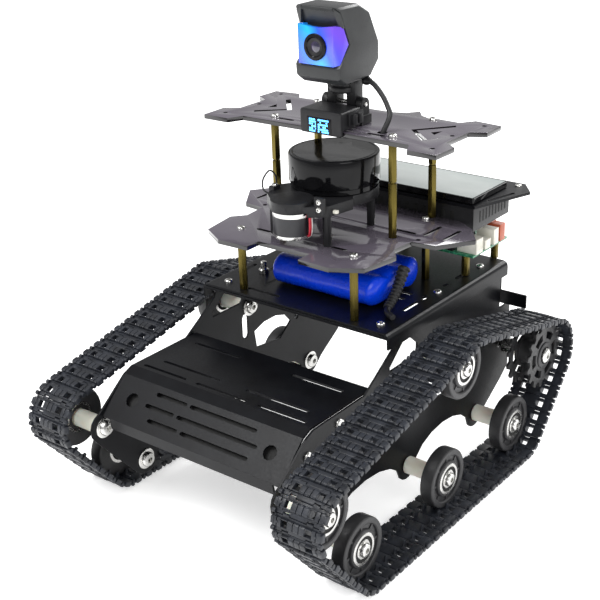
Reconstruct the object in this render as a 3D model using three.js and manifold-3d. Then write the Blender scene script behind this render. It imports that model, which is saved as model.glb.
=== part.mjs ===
// A tracked robot: sheet-metal tank chassis with two tracks, two acrylic storeys, a lidar and a camera.
// Units are millimetres. +Z is up, the front faces -Y, +X is on the viewer's right, the ground is z = 0.
import * as THREE from "three";
import { mergeVertices } from "three/addons/utils/BufferGeometryUtils.js";
import Module from "manifold-3d";

const wasm = await Module();
wasm.setup();

// ---------------------------------------------------------------- driving dimensions
const GAP = 0.3; // clearance between neighbouring pieces

// running gear
const WHEEL_RADIUS = 20.2;
const WHEEL_WIDTH = 9.3;
const HUB_RADIUS = 10;
const HUB_WIDTH = 10;
const BORE_RADIUS = 3.3;
const SHANK_RADIUS = 2.9;
const SPACER_RADIUS = 6;
const BELT = 1.9; // thickness of the track's plates
const GROUSER = 1.9; // height of the bar across each link
const TRACK_WIDTH = 35.8;
const TRACK_X = 102.6; // mid-plane of a track
const LINKS = 68;
const WHEEL_Z = WHEEL_RADIUS + GAP + BELT + GROUSER;
const AXLES = {
  front_idler: { y: -127.1, z: 64 },
  return_roller: { y: 20.7, z: 96 },
  road_wheel_front: { y: -93.8, z: WHEEL_Z },
  road_wheel_mid: { y: 1.8, z: WHEEL_Z },
  road_wheel_rear: { y: 89.7, z: WHEEL_Z },
};
const SPROCKET = {
  y: 123,
  z: 66.3,
  tip: 24.2,
  root: 20.6,
  teeth: 15,
  spread: 7.5, // from the mid-plane to each toothed disc
  thickness: 2,
  hubRadius: 9.5,
  windowInner: 12,
  windowOuter: 17.2,
};
const TIP_GAP = 0.4; // from the sprocket's tips to the track's plates
const SHAFT_RADIUS = 3;
const SHAFT_LENGTH = 4; // bare shaft between the side plate and its coupling
const SHAFT_BOLT = { radius: 5.5, thickness: 2.2 };
const INNER_HEAD = { radius: 5, thickness: 3.7 }; // axle bolt inside the side plate
const OUTER_HEAD = { radius: 4.6, thickness: 2.3 }; // axle nut outside the wheel
const MOTOR = {
  length: 52,
  capLength: 6,
  capRadius: 10.5,
  radius: 12,
  gearboxLength: 24,
  gearboxRadius: 12.5,
  neck: 3.6,
};

// sheet metal
const SHEET = 1.5;
const SIDE_INNER_X = 74; // inner face of a side plate
const SIDE_OUTER_X = SIDE_INNER_X + SHEET;
const DECK = { halfWidth: 77.3, front: -22.7, rear: 127.9, top: 128.9, flangeBottom: 118.5, bend: 4 };
const SIDE_TOP = 124.7;
const SLOT = 2.8; // width of the slots in the deck and the acrylic plates
const COVER_SLOT = 2.6;
const LOBE = 11; // radius of a side plate round each axle
const ARCH_TOP = 36;

// storeys
const ACRYLIC = 3;
const LOWER_TOP = 172.3;
const UPPER_TOP = 239.3;
const STANDOFF_RADIUS = 2.9; // corner radius of a hexagonal standoff
const LOWER_STANDOFFS = { x: 46.2, front: -15.3, rear: 68 };
const UPPER_STANDOFFS = { x: 47.5, front: 26.1, rear: 73.2 };

// deck equipment
const COMPUTER = {
  boardBottom: 144.3,
  boardTop: 145.9,
  caseBottom: 165,
  caseTop: 181.1,
  trayTop: 183.4,
  panelTop: 188,
};
const LIDAR = {
  y: 28.2,
  radius: 30.25,
  bottom: 200.3,
  top: 223.1,
  baseBottom: 193,
  bossRadius: 14,
  bossTop: 202.5,
  motorY: -17.3,
  motorRadius: 12.9,
  motorTop: 195.4,
  motorBottom: 177,
};
// The screen box stands on the upper plate, with a lip that hangs in front of the plate's edge.
const SCREEN_BOX = { front: 14.2, lip: 16.2, rear: 35.4, lipBottom: 236.2, top: 252, halfWidth: 16.4 };
const TILT = {
  y: 41.5,
  z: 252.3,
  knuckle: 4.6,
  bore: 1.8,
  pin: 1.5,
  pinHalf: 16.8,
  earInner: 11.4,
  earOuter: 16,
  neckHalf: 11,
  neckTop: 17.5,
};
const CAMERA_HALF = 17.3;
const CABLE_RADIUS = 1.7;
const CABLE_HOLE = { x: 36.8, y: 30.4, radius: 3.4 };
// Centres of the camera cable from under the head to its hole in the upper plate.
const CABLE_ROUTE = [
  [15.6, 44, 267.3],
  [19, 43.2, 267.2],
  [23, 42.4, 265.4],
  [27.5, 41.2, 262.2],
  [31.8, 39.8, 258.6],
  [36, 37.5, 254.6],
  [39.2, 35.4, 251],
  [39.6, 33.6, 247.4],
  [38.6, 32, 243.5],
  [37.2, 30.6, 239.3],
  [CABLE_HOLE.x, CABLE_HOLE.y, UPPER_TOP - ACRYLIC],
];

const COLOURS = {
  black_sheet: { color: 0x17181b, roughness: 0.38, metalness: 0.3 },
  track_rubber: { color: 0x202124, roughness: 0.75, metalness: 0 },
  wheel_plastic: { color: 0x1d1e20, roughness: 0.6, metalness: 0 },
  spacer_steel: { color: 0xc9c7bd, roughness: 0.45, metalness: 0.2 },
  steel: { color: 0xb4b4b2, roughness: 0.3, metalness: 1 },
  smoked_acrylic: { color: 0x332b38, roughness: 0.12, metalness: 0 },
  brass: { color: 0xa88a3e, roughness: 0.35, metalness: 1 },
  lidar_plastic: { color: 0x141416, roughness: 0.15, metalness: 0 },
  black_plastic: { color: 0x1b1c1e, roughness: 0.5, metalness: 0 },
  camera_plastic: { color: 0x303236, roughness: 0.45, metalness: 0 },
  battery_wrap: { color: 0x0a37b8, roughness: 0.3, metalness: 0 },
  board_green: { color: 0x1d6b46, roughness: 0.5, metalness: 0 },
  glass: { color: 0x8f9896, roughness: 0.08, metalness: 0 },
  cable_rubber: { color: 0x121214, roughness: 0.5, metalness: 0 },
};

// ---------------------------------------------------------------- solids
const X = new THREE.Vector3(1, 0, 0);
const Y = new THREE.Vector3(0, 1, 0);
const Z = new THREE.Vector3(0, 0, 1);

function solidOf(geometry) {
  const bare = geometry.clone();
  bare.deleteAttribute("normal");
  bare.deleteAttribute("uv");
  const merged = mergeVertices(bare, 1e-3);
  return new wasm.Manifold(
    new wasm.Mesh({
      numProp: 3,
      vertProperties: new Float32Array(merged.attributes.position.array),
      triVerts: new Uint32Array(merged.index.array),
    }),
  );
}

function geometryOf(solid) {
  const mesh = solid.getMesh();
  const indexed = new THREE.BufferGeometry();
  indexed.setAttribute("position", new THREE.BufferAttribute(mesh.vertProperties, 3));
  indexed.setIndex(new THREE.BufferAttribute(mesh.triVerts, 1));
  const faceted = indexed.toNonIndexed();
  faceted.computeVertexNormals();
  return faceted;
}

function join(...geometries) {
  return geometryOf(geometries.map(solidOf).reduce((sum, next) => sum.add(next)));
}

function cut(geometry, tools) {
  return geometryOf(tools.map(solidOf).reduce((rest, tool) => rest.subtract(tool), solidOf(geometry)));
}

// ---------------------------------------------------------------- outlines
const point = ([x, y]) => new THREE.Vector2(x, y);

function arc(x, y, radius, from, to, steps) {
  const points = [];
  for (let i = 0; i <= steps; i++) {
    const angle = THREE.MathUtils.degToRad(from + ((to - from) * i) / steps);
    points.push([x + radius * Math.cos(angle), y + radius * Math.sin(angle)]);
  }
  return points;
}

function circle(x, y, radius, steps = 12) {
  return arc(x, y, radius, 0, 360, steps).slice(0, steps);
}

// A slot with round ends from one end's centre to the other's.
function slot(x0, y0, x1, y1, width) {
  const heading = THREE.MathUtils.radToDeg(Math.atan2(y1 - y0, x1 - x0));
  return [
    ...arc(x1, y1, width / 2, heading - 90, heading + 90, 3),
    ...arc(x0, y0, width / 2, heading + 90, heading + 270, 3),
  ];
}

function arch(from, to, foot, top, steps) {
  const middle = (from + to) / 2;
  const points = [];
  for (let i = 1; i < steps; i++) {
    const angle = Math.PI * (1 - i / steps);
    points.push([middle + ((to - from) / 2) * Math.cos(angle), foot + (top - foot) * Math.sin(angle)]);
  }
  return points;
}

const mirrored = (half) => [...half, ...half.slice().reverse().filter(([x]) => x > 0).map(([x, y]) => [-x, y])];

// A sheet of the given thickness whose outer side follows a line of points.
function folded(points, thickness) {
  const line = points.map(point);
  const inner = line.map((p, i) => {
    const before = i > 0 ? p.clone().sub(line[i - 1]).normalize() : null;
    const after = i < line.length - 1 ? line[i + 1].clone().sub(p).normalize() : null;
    const along = (before ?? after).clone().add(after ?? before).normalize();
    const stretch = along.dot(before ?? after);
    return [p.x + (along.y * thickness) / stretch, p.y - (along.x * thickness) / stretch];
  });
  return [...points, ...inner.reverse()];
}

function shapeOf(outline, holes = []) {
  const shape = new THREE.Shape(outline.map(point));
  holes.forEach((hole) => shape.holes.push(new THREE.Path(hole.map(point))));
  return shape;
}

// Extrudes an outline drawn in the (u, v) plane of a frame along u x v.
function extrude(outline, holes, depth, u, v, origin) {
  const geometry = new THREE.ExtrudeGeometry(shapeOf(outline, holes), { depth, bevelEnabled: false });
  const w = u.clone().cross(v);
  return geometry.applyMatrix4(new THREE.Matrix4().makeBasis(u, v, w).setPosition(...origin));
}

const alongX = (outline, holes, x0, x1) => extrude(outline, holes, x1 - x0, Y, Z, [x0, 0, 0]);
const alongY = (outline, holes, y0, y1) => extrude(outline, holes, y1 - y0, X, Z, [0, y1, 0]);
const alongZ = (outline, holes, z0, z1) => extrude(outline, holes, z1 - z0, X, Y, [0, 0, z0]);

function box(x0, x1, y0, y1, z0, z1) {
  const geometry = new THREE.BoxGeometry(x1 - x0, y1 - y0, z1 - z0);
  return geometry.translate((x0 + x1) / 2, (y0 + y1) / 2, (z0 + z1) / 2);
}

// Turns a profile of [radius, height] round the Y axis, faces pointing out.
function turned(profile, segments) {
  const points = profile.map(point);
  const ordered = THREE.ShapeUtils.area(points) > 0 ? points : points.reverse();
  if (profile[0][0] > 0) ordered.push(ordered[0].clone());
  return new THREE.LatheGeometry(ordered, segments);
}

const turnedAlongX = (profile, segments) => turned(profile, segments).rotateZ(-Math.PI / 2);
const turnedAlongZ = (profile, segments) => turned(profile, segments).rotateX(Math.PI / 2);

// ---------------------------------------------------------------- the group
const robot = new THREE.Group();

function add(name, geometry, finish, group = robot) {
  const material = new THREE.MeshStandardMaterial(COLOURS[finish]);
  const mesh = new THREE.Mesh(geometry, material);
  mesh.name = name;
  group.add(mesh);
  return mesh;
}

const SIDES = [
  { side: "left", sign: -1 },
  { side: "right", sign: 1 },
];

// ---------------------------------------------------------------- track
// The closed line that runs round the given circles at a distance from their edges.
function loopAround(circles) {
  const count = circles.length;
  const normals = circles.map((c, i) => {
    const next = circles[(i + 1) % count];
    const span = new THREE.Vector2(next.y - c.y, next.z - c.z);
    const cosine = (c.r - next.r) / span.length();
    const sine = Math.sqrt(1 - cosine * cosine);
    const along = span.normalize();
    return new THREE.Vector2(along.x * cosine + along.y * sine, along.y * cosine - along.x * sine);
  });
  return circles.flatMap((c, i) => {
    const next = circles[(i + 1) % count];
    const arrive = normals[(i + count - 1) % count].angle();
    const sweep = (normals[i].angle() - arrive + 2 * Math.PI) % (2 * Math.PI);
    const normal = normals[i];
    const start = [c.y + c.r * normal.x, c.z + c.r * normal.y];
    const end = [next.y + next.r * normal.x, next.z + next.r * normal.y];
    const bend = {
      length: c.r * sweep,
      steps: Math.max(1, Math.ceil(sweep / THREE.MathUtils.degToRad(12))),
      at: (s) => {
        const angle = arrive + s / c.r;
        const n = [Math.cos(angle), Math.sin(angle)];
        return { p: [c.y + c.r * n[0], c.z + c.r * n[1]], n };
      },
    };
    const straight = {
      length: Math.hypot(end[0] - start[0], end[1] - start[1]),
      steps: 1,
      at: (s) => ({ p: [start[0] - normal.y * s, start[1] + normal.x * s], n: [normal.x, normal.y] }),
    };
    return [bend, straight];
  });
}

function pointOnLoop(runs, distance) {
  let rest = distance;
  for (const run of runs) {
    if (rest <= run.length) return run.at(rest);
    rest -= run.length;
  }
  return runs[0].at(0);
}

const offset = ({ p, n }, h) => [p[0] + n[0] * h, p[1] + n[1] * h];

function trackGeometry() {
  const rim = WHEEL_RADIUS + GAP + BELT / 2;
  const order = ["front_idler", "road_wheel_front", "road_wheel_rear", "sprocket", "return_roller"];
  const runs = loopAround(
    order.map((name) =>
      name === "sprocket"
        ? { ...SPROCKET, r: SPROCKET.tip + TIP_GAP + BELT / 2 }
        : { ...AXLES[name], r: rim },
    ),
  );
  const length = runs.reduce((sum, run) => sum + run.length, 0);
  const pitch = length / LINKS;
  const outer = [];
  for (let i = 0; i < LINKS; i++) {
    const from = pointOnLoop(runs, (i + 0.25) * pitch);
    const to = pointOnLoop(runs, (i + 0.75) * pitch);
    outer.push(offset(from, BELT / 2), offset(from, BELT / 2 + GROUSER));
    outer.push(offset(to, BELT / 2 + GROUSER), offset(to, BELT / 2));
  }
  const inner = runs.flatMap((run) => {
    const points = [];
    for (let k = 0; k < run.steps; k++) points.push(offset(run.at((run.length * k) / run.steps), -BELT / 2));
    return points;
  });
  return alongX(outer, [inner], -TRACK_WIDTH / 2, TRACK_WIDTH / 2);
}

// ---------------------------------------------------------------- wheels
function wheelGeometry() {
  const half = WHEEL_WIDTH / 2;
  const hub = HUB_WIDTH / 2;
  const web = half - 1.1;
  const rimInner = 15;
  return turnedAlongX(
    [
      [BORE_RADIUS, -hub],
      [HUB_RADIUS, -hub],
      [HUB_RADIUS, -half],
      [WHEEL_RADIUS, -half],
      [WHEEL_RADIUS, half],
      [rimInner, half],
      [rimInner, web],
      [HUB_RADIUS, web],
      [HUB_RADIUS, hub],
      [BORE_RADIUS, hub],
    ],
    16,
  );
}

// The bolt and its spacer: through the side plate, out to the wheel and through its bore.
function axleGeometry() {
  const wheelInner = TRACK_X - HUB_WIDTH / 2;
  const wheelOuter = TRACK_X + HUB_WIDTH / 2;
  return turnedAlongX(
    [
      [0, SIDE_INNER_X - GAP - INNER_HEAD.thickness],
      [INNER_HEAD.radius, SIDE_INNER_X - GAP - INNER_HEAD.thickness],
      [INNER_HEAD.radius, SIDE_INNER_X - GAP],
      [SHANK_RADIUS, SIDE_INNER_X - GAP],
      [SHANK_RADIUS, SIDE_OUTER_X + GAP],
      [SPACER_RADIUS, SIDE_OUTER_X + GAP],
      [SPACER_RADIUS, wheelInner - GAP],
      [SHANK_RADIUS, wheelInner - GAP],
      [SHANK_RADIUS, wheelOuter + GAP],
      [OUTER_HEAD.radius, wheelOuter + GAP],
      [OUTER_HEAD.radius, wheelOuter + GAP + OUTER_HEAD.thickness],
      [0, wheelOuter + GAP + OUTER_HEAD.thickness],
    ],
    10,
  );
}

function sprocketGeometry() {
  const { tip, root, teeth, spread, thickness } = SPROCKET;
  const pitch = 360 / teeth;
  const rim = [];
  for (let i = 0; i < teeth; i++) {
    rim.push(...arc(0, 0, root, (i - 0.32) * pitch, (i - 0.28) * pitch, 1).slice(0, 1));
    rim.push(...arc(0, 0, tip, (i - 0.14) * pitch, (i + 0.14) * pitch, 1));
    rim.push(...arc(0, 0, root, (i + 0.32) * pitch, (i + 0.36) * pitch, 1).slice(0, 1));
  }
  const { hubRadius, windowInner, windowOuter } = SPROCKET;
  const windows = [0, 60, 120, 180, 240, 300].map((middle) => [
    ...arc(0, 0, windowOuter, middle - 19, middle + 19, 3),
    ...arc(0, 0, windowInner, middle + 19, middle - 19, 3),
  ]);
  const disc = (middle) =>
    alongX(rim, [...windows, circle(0, 0, BORE_RADIUS)], middle - thickness / 2, middle + thickness / 2);
  const end = spread + thickness / 2;
  const hub = turnedAlongX(
    [
      [BORE_RADIUS, -end],
      [hubRadius, -end],
      [hubRadius, end],
      [BORE_RADIUS, end],
    ],
    12,
  );
  return join(disc(-spread), disc(spread), hub);
}

// Motor output shaft with its coupling and the large bolt on the sprocket's outer face.
function driveShaftGeometry() {
  const hubInner = TRACK_X - SPROCKET.spread - SPROCKET.thickness / 2;
  const hubOuter = TRACK_X + SPROCKET.spread + SPROCKET.thickness / 2;
  return turnedAlongX(
    [
      [0, SIDE_OUTER_X + GAP],
      [SHAFT_RADIUS, SIDE_OUTER_X + GAP],
      [SHAFT_RADIUS, SIDE_OUTER_X + SHAFT_LENGTH],
      [SPACER_RADIUS, SIDE_OUTER_X + SHAFT_LENGTH],
      [SPACER_RADIUS, hubInner - GAP],
      [SHANK_RADIUS, hubInner - GAP],
      [SHANK_RADIUS, hubOuter + GAP],
      [SHAFT_BOLT.radius, hubOuter + GAP],
      [SHAFT_BOLT.radius, hubOuter + GAP + SHAFT_BOLT.thickness],
      [0, hubOuter + GAP + SHAFT_BOLT.thickness],
    ],
    12,
  );
}

function gearMotorGeometry() {
  const { length, capLength, capRadius, radius, gearboxLength, gearboxRadius, neck } = MOTOR;
  const face = SIDE_INNER_X - GAP;
  return turnedAlongX(
    [
      [0, face - length],
      [capRadius, face - length],
      [capRadius, face - length + capLength],
      [radius, face - length + capLength],
      [radius, face - gearboxLength],
      [gearboxRadius, face - gearboxLength],
      [gearboxRadius, face],
      [neck, face],
      [neck, SIDE_OUTER_X],
      [0, SIDE_OUTER_X],
    ],
    16,
  );
}

function addRunningGear({ side, sign }) {
  const mirror = new THREE.Group();
  mirror.rotation.z = sign > 0 ? 0 : Math.PI; // half a turn puts the outer faces on the left
  robot.add(mirror);
  const place = (name, geometry, finish, x, y, z) => {
    const mesh = add(`${name}_${side}`, geometry, finish, mirror);
    mesh.position.set(x, sign * y, z);
  };
  const track = add(`track_${side}`, trackGeometry(), "track_rubber");
  track.position.x = sign * TRACK_X;
  for (const [name, axle] of Object.entries(AXLES)) {
    place(name, wheelGeometry(), "wheel_plastic", TRACK_X, axle.y, axle.z);
    place(`axle_${name}`, axleGeometry(), "spacer_steel", 0, axle.y, axle.z);
  }
  place("drive_sprocket", sprocketGeometry(), "wheel_plastic", TRACK_X, SPROCKET.y, SPROCKET.z);
  place("drive_shaft", driveShaftGeometry(), "steel", 0, SPROCKET.y, SPROCKET.z);
  place("gear_motor", gearMotorGeometry(), "steel", 0, SPROCKET.y, SPROCKET.z);
}

// ---------------------------------------------------------------- sheet metal
function sidePlateOutline() {
  const idler = AXLES.front_idler;
  const [front, mid, rear] = [AXLES.road_wheel_front, AXLES.road_wheel_mid, AXLES.road_wheel_rear];
  const slope = 221.7; // direction of the front edge's normal
  const foot = 220; // direction from which an arch leaves a lobe
  const farFoot = 540 - foot; // the same on the lobe's other side
  const lobe = (axle, from, to) => arc(axle.y, axle.z, LOBE, from, to, 5);
  const frontLobe = lobe(front, slope, farFoot);
  const midLobe = lobe(mid, foot, farFoot);
  const rearLobe = lobe(rear, foot, 300);
  const last = (points) => points[points.length - 1];
  return [
    [-17.5, SIDE_TOP],
    [-14, 119],
    [-15.6, 115.6],
    [-32.8, 104.5],
    [-45.8, 96.4],
    [-97.6, 96.4],
    [-105.4, 93.4],
    ...lobe(idler, 104, slope),
    ...frontLobe,
    ...arch(last(frontLobe)[0], midLobe[0][0], midLobe[0][1], ARCH_TOP, 8),
    ...midLobe,
    ...arch(last(midLobe)[0], rearLobe[0][0], midLobe[0][1], ARCH_TOP, 8),
    ...rearLobe,
    [104.5, 23.3],
    [126.1, 36.5],
    [136, 44],
    [136, 94.4],
    [121, 94.4],
    [121, SIDE_TOP],
  ];
}

function sidePlateGeometry() {
  const holes = Object.values(AXLES).map(({ y, z }) => circle(y, z, BORE_RADIUS, 10));
  holes.push(circle(SPROCKET.y, SPROCKET.z, MOTOR.neck + 0.6, 10));
  holes.push(slot(15, 75, 15, 88.5, 6));
  holes.push([
    [-18.6, 101.5],
    [-18.6, 104.6],
    [-4, 116.6],
    [5, 116.6],
    [13, 109.6],
    [13, 103.4],
    [11, 101.5],
  ]);
  holes.push([
    [27, 60.5],
    [25, 74],
    [36, 77.5],
    [50, 77.5],
    [61, 74],
    [67, 67],
    [54, 57],
  ]);
  holes.push(circle(73, 77, 2.5, 8), circle(74.5, 68, 2.5, 8));
  return alongX(sidePlateOutline(), holes, 0, SHEET);
}

function deckGeometry() {
  const { halfWidth, front, rear, top, flangeBottom, bend } = DECK;
  const corner = arc(halfWidth - bend, top - bend, bend, 0, 90, 4);
  const outer = [[halfWidth, flangeBottom], ...corner];
  const line = [...outer, ...outer.slice().reverse().map(([x, z]) => [-x, z])];
  const channel = alongY(folded(line.reverse(), SHEET), [], front, rear);
  const frontLip = box(-halfWidth + 1, halfWidth - 1, front, front + SHEET, 125, top - bend / 2);
  const rearLip = box(-72, 72, rear - SHEET, rear, 108, top - SHEET / 2);
  const slots = [
    slot(-43.5, -13, -18.7, -13, SLOT),
    slot(-38, -1.2, -38, 12.4, SLOT),
    slot(-52.7, 16, -52.7, 25.4, SLOT),
    slot(-68.3, 5.7, -68.3, 22.8, SLOT),
    slot(45.4, 39.7, 53, 39.7, SLOT),
    slot(48.4, 30.2, 53, 30.2, SLOT),
    slot(63.9, 15.2, 63.9, 30.6, SLOT),
    slot(63.9, 37.7, 63.9, 41, SLOT),
    slot(63.9, 63.9, 63.9, 67.4, SLOT),
    slot(63.9, 80, 63.9, 86.7, SLOT),
  ];
  const tools = slots.map((outline) => alongZ(outline, [], top - 3, top + 1));
  return cut(join(channel, frontLip, rearLip), tools);
}

const COVER = {
  halfWidth: SIDE_INNER_X - GAP - 0.4,
  profile: [
    [-37.3, 97.3],
    [-97.7, 97.3],
    [-105.5, 94.3],
    [-128, 72.9],
    [-126.6, 64.6],
  ],
};

function frontCoverGeometry() {
  const outline = folded(COVER.profile.slice().reverse(), SHEET);
  const sheet = alongX(outline, [], -COVER.halfWidth, COVER.halfWidth);
  const topSlots = [
    [22.5, 61, -50.1],
    [12, 59, -82.5],
    [31, 66, -93.6],
  ].flatMap(([from, to, y]) => [slot(from, y, to, y, COVER_SLOT), slot(-to, y, -from, y, COVER_SLOT)]);
  topSlots.push(slot(-20, -93.6, 20, -93.6, COVER_SLOT));
  const top = COVER.profile[1][1];
  const topTools = topSlots.map((outlineXY) => alongZ(outlineXY, [], top - 4, top + 1));
  const [edge, foot] = [COVER.profile[2], COVER.profile[3]];
  const down = new THREE.Vector3(0, foot[0] - edge[0], foot[1] - edge[1]).normalize();
  const outward = X.clone().cross(down);
  const faceSlots = [
    [-39.7, -16, 5.6],
    [-11, 40.6, 5.6],
    [-44, -22, 14.7],
    [-17, 45.8, 14.7],
    [-37, -14, 23.3],
    [-9, 43.2, 23.3],
  ].map(([from, to, s]) => slot(from, s, to, s, COVER_SLOT));
  faceSlots.push(circle(57, 14.7, 4.8), circle(-57, 14.7, 4.8));
  const origin = new THREE.Vector3(0, ...edge).addScaledVector(outward, -3);
  const faceTools = faceSlots.map((outlineXS) => extrude(outlineXS, [], 6, X, down, origin.toArray()));
  // The lip under the face is narrower than the face, clear of the idler bolts' heads.
  const cornerTools = [box(67.6, 80, -132, -120, 60, 72), box(-80, -67.6, -132, -120, 60, 72)];
  return cut(sheet, [...topTools, ...faceTools, ...cornerTools]);
}

function rearPlateGeometry() {
  const wing = 92.4;
  const body = 72;
  const outline = [
    [-wing, 95.3],
    [wing, 95.3],
    [wing, 105.4],
    [body, 105.4],
    [body, 124],
    [-body, 124],
    [-body, 105.4],
    [-wing, 105.4],
  ];
  return alongY(outline, [], DECK.rear + GAP, DECK.rear + GAP + SHEET);
}

function addSheetMetal() {
  for (const { side, sign } of SIDES) {
    const plate = add(`side_plate_${side}`, sidePlateGeometry(), "black_sheet");
    plate.position.x = sign > 0 ? SIDE_INNER_X : -SIDE_OUTER_X;
  }
  add("main_deck", deckGeometry(), "black_sheet");
  add("front_cover", frontCoverGeometry(), "black_sheet");
  add("rear_plate", rearPlateGeometry(), "black_sheet");
}

// ---------------------------------------------------------------- storeys
function lowerPlateGeometry() {
  const half = [
    [0, -27.6],
    [20.7, -27.6],
    [20.7, -38.9],
    [44.9, -39.7],
    [63.9, -28.5],
    [68.3, -0.9],
    [60.5, 7.8],
    [62.2, 25.9],
    [78.6, 27.6],
    [94.6, 51],
    [82.9, 66.5],
    [68.3, 76],
    [0, 78.6],
  ];
  const halfSlots = [
    [25.6, -9.5, 35.8, -9.5],
    [40.3, 39.7, 55.6, 39.7],
    [63, 40.3, 63, 59.1],
    [77.8, 40.3, 77.8, 59.1],
  ];
  const holes = halfSlots.flatMap(([x0, y0, x1, y1]) => [
    slot(x0, y0, x1, y1, SLOT),
    slot(-x1, y1, -x0, y0, SLOT),
  ]);
  holes.push(circle(63.9, 31.1, 1.7, 8), circle(-63.9, 31.1, 1.7, 8));
  return alongZ(mirrored(half), holes, LOWER_TOP - ACRYLIC, LOWER_TOP);
}

function upperPlateGeometry() {
  const half = [
    [0, 16.8],
    [66.5, 15.6],
    [71.7, 5.2],
    [92.4, 5.2],
    [92.9, 25.1],
    [82.9, 32],
    [82.9, 58.8],
    [92.9, 64.4],
    [92.4, 82.9],
    [72.6, 85.1],
    [65.7, 76],
    [49.2, 76.9],
    [43.2, 75.2],
    [35.4, 78.6],
    [28.5, 87.3],
    [22.5, 79.5],
    [13, 76],
    [0, 76],
  ];
  const chevron = [
    [67.6, 28.2],
    [69.6, 31.2],
    [52.6, 45.8],
    [69.6, 65.6],
    [67.6, 68.6],
    [48.4, 45.8],
  ];
  const triangle = [
    [62.6, 46.7],
    [67.4, 42.8],
    [67.4, 52.7],
  ];
  const flip = (outline) => outline.map(([x, y]) => [-x, y]).reverse();
  const holes = [chevron, triangle, slot(30.8, 24.2, 41.8, 24.2, SLOT)];
  [
    [82.9, 16.4],
    [78.2, 46.7],
    [83.4, 77.3],
  ].forEach(([x, y]) => holes.push(circle(x, y, 1.6, 8)));
  const all = [...holes, ...holes.map(flip), circle(CABLE_HOLE.x, CABLE_HOLE.y, CABLE_HOLE.radius)];
  return alongZ(mirrored(half), all, UPPER_TOP - ACRYLIC, UPPER_TOP);
}

function standoff(height) {
  return new THREE.CylinderGeometry(STANDOFF_RADIUS, STANDOFF_RADIUS, height, 6).rotateX(Math.PI / 2);
}

function addStandoffs(name, places, bottom, top) {
  for (const [row, y] of Object.entries({ front: places.front, rear: places.rear })) {
    for (const { side, sign } of SIDES) {
      const height = top - bottom - 2 * GAP;
      const mesh = add(`${name}_${row}_${side}`, standoff(height), "brass");
      mesh.position.set(sign * places.x + (places.middle ?? 0), y, bottom + GAP + height / 2);
    }
  }
}

function addStoreys() {
  add("lower_plate", lowerPlateGeometry(), "smoked_acrylic");
  add("upper_plate", upperPlateGeometry(), "smoked_acrylic");
  addStandoffs("lower_standoff", LOWER_STANDOFFS, DECK.top, LOWER_TOP - ACRYLIC);
  addStandoffs("upper_standoff", UPPER_STANDOFFS, LOWER_TOP, UPPER_TOP - ACRYLIC);
}

// ---------------------------------------------------------------- lidar
function addLidar() {
  const { y, radius, bottom, top, baseBottom, bossRadius, bossTop } = LIDAR;
  const { motorY, motorRadius, motorTop, motorBottom } = LIDAR;
  const baseOutline = [
    ...arc(0, motorY, bossRadius, 200, 340, 6),
    [25, -12],
    [29.3, 8],
    ...arc(0, y, 29.5, -30, 210, 16),
    [-29.3, 8],
    [-25, -12],
  ];
  const plate = alongZ(baseOutline, [], baseBottom, bottom - GAP);
  const disc = (discRadius, z0, z1) => alongZ(circle(0, motorY, discRadius, 24), [], z0, z1);
  const boss = disc(bossRadius, motorTop + GAP, bossTop);
  const hollow = disc(bossRadius + 1, baseBottom - 1, motorTop + GAP);
  const posts = [
    [21.6, -9.5],
    [-21.6, -9.5],
    [21.6, 38.9],
    [-21.6, 38.9],
  ].map(([x, py]) => alongZ(circle(x, py, 2.8, 8), [], LOWER_TOP + GAP, baseBottom + 1));
  add("lidar_base", cut(join(plate, boss, ...posts), [hollow]), "black_plastic");
  const motor = turnedAlongZ(
    [
      [0, motorBottom],
      [motorRadius, motorBottom],
      [motorRadius, motorTop],
      [0, motorTop],
    ],
    20,
  );
  add("lidar_motor", motor, "steel").position.y = motorY;
  const head = turnedAlongZ(
    [
      [0, bottom],
      [radius - 1, bottom],
      [radius - 1, bottom + 4],
      [radius, bottom + 4.4],
      [radius, top - 1],
      [radius - 1, top],
      [0, top],
    ],
    32,
  );
  add("lidar_head", head, "lidar_plastic").position.y = y;
}

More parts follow.
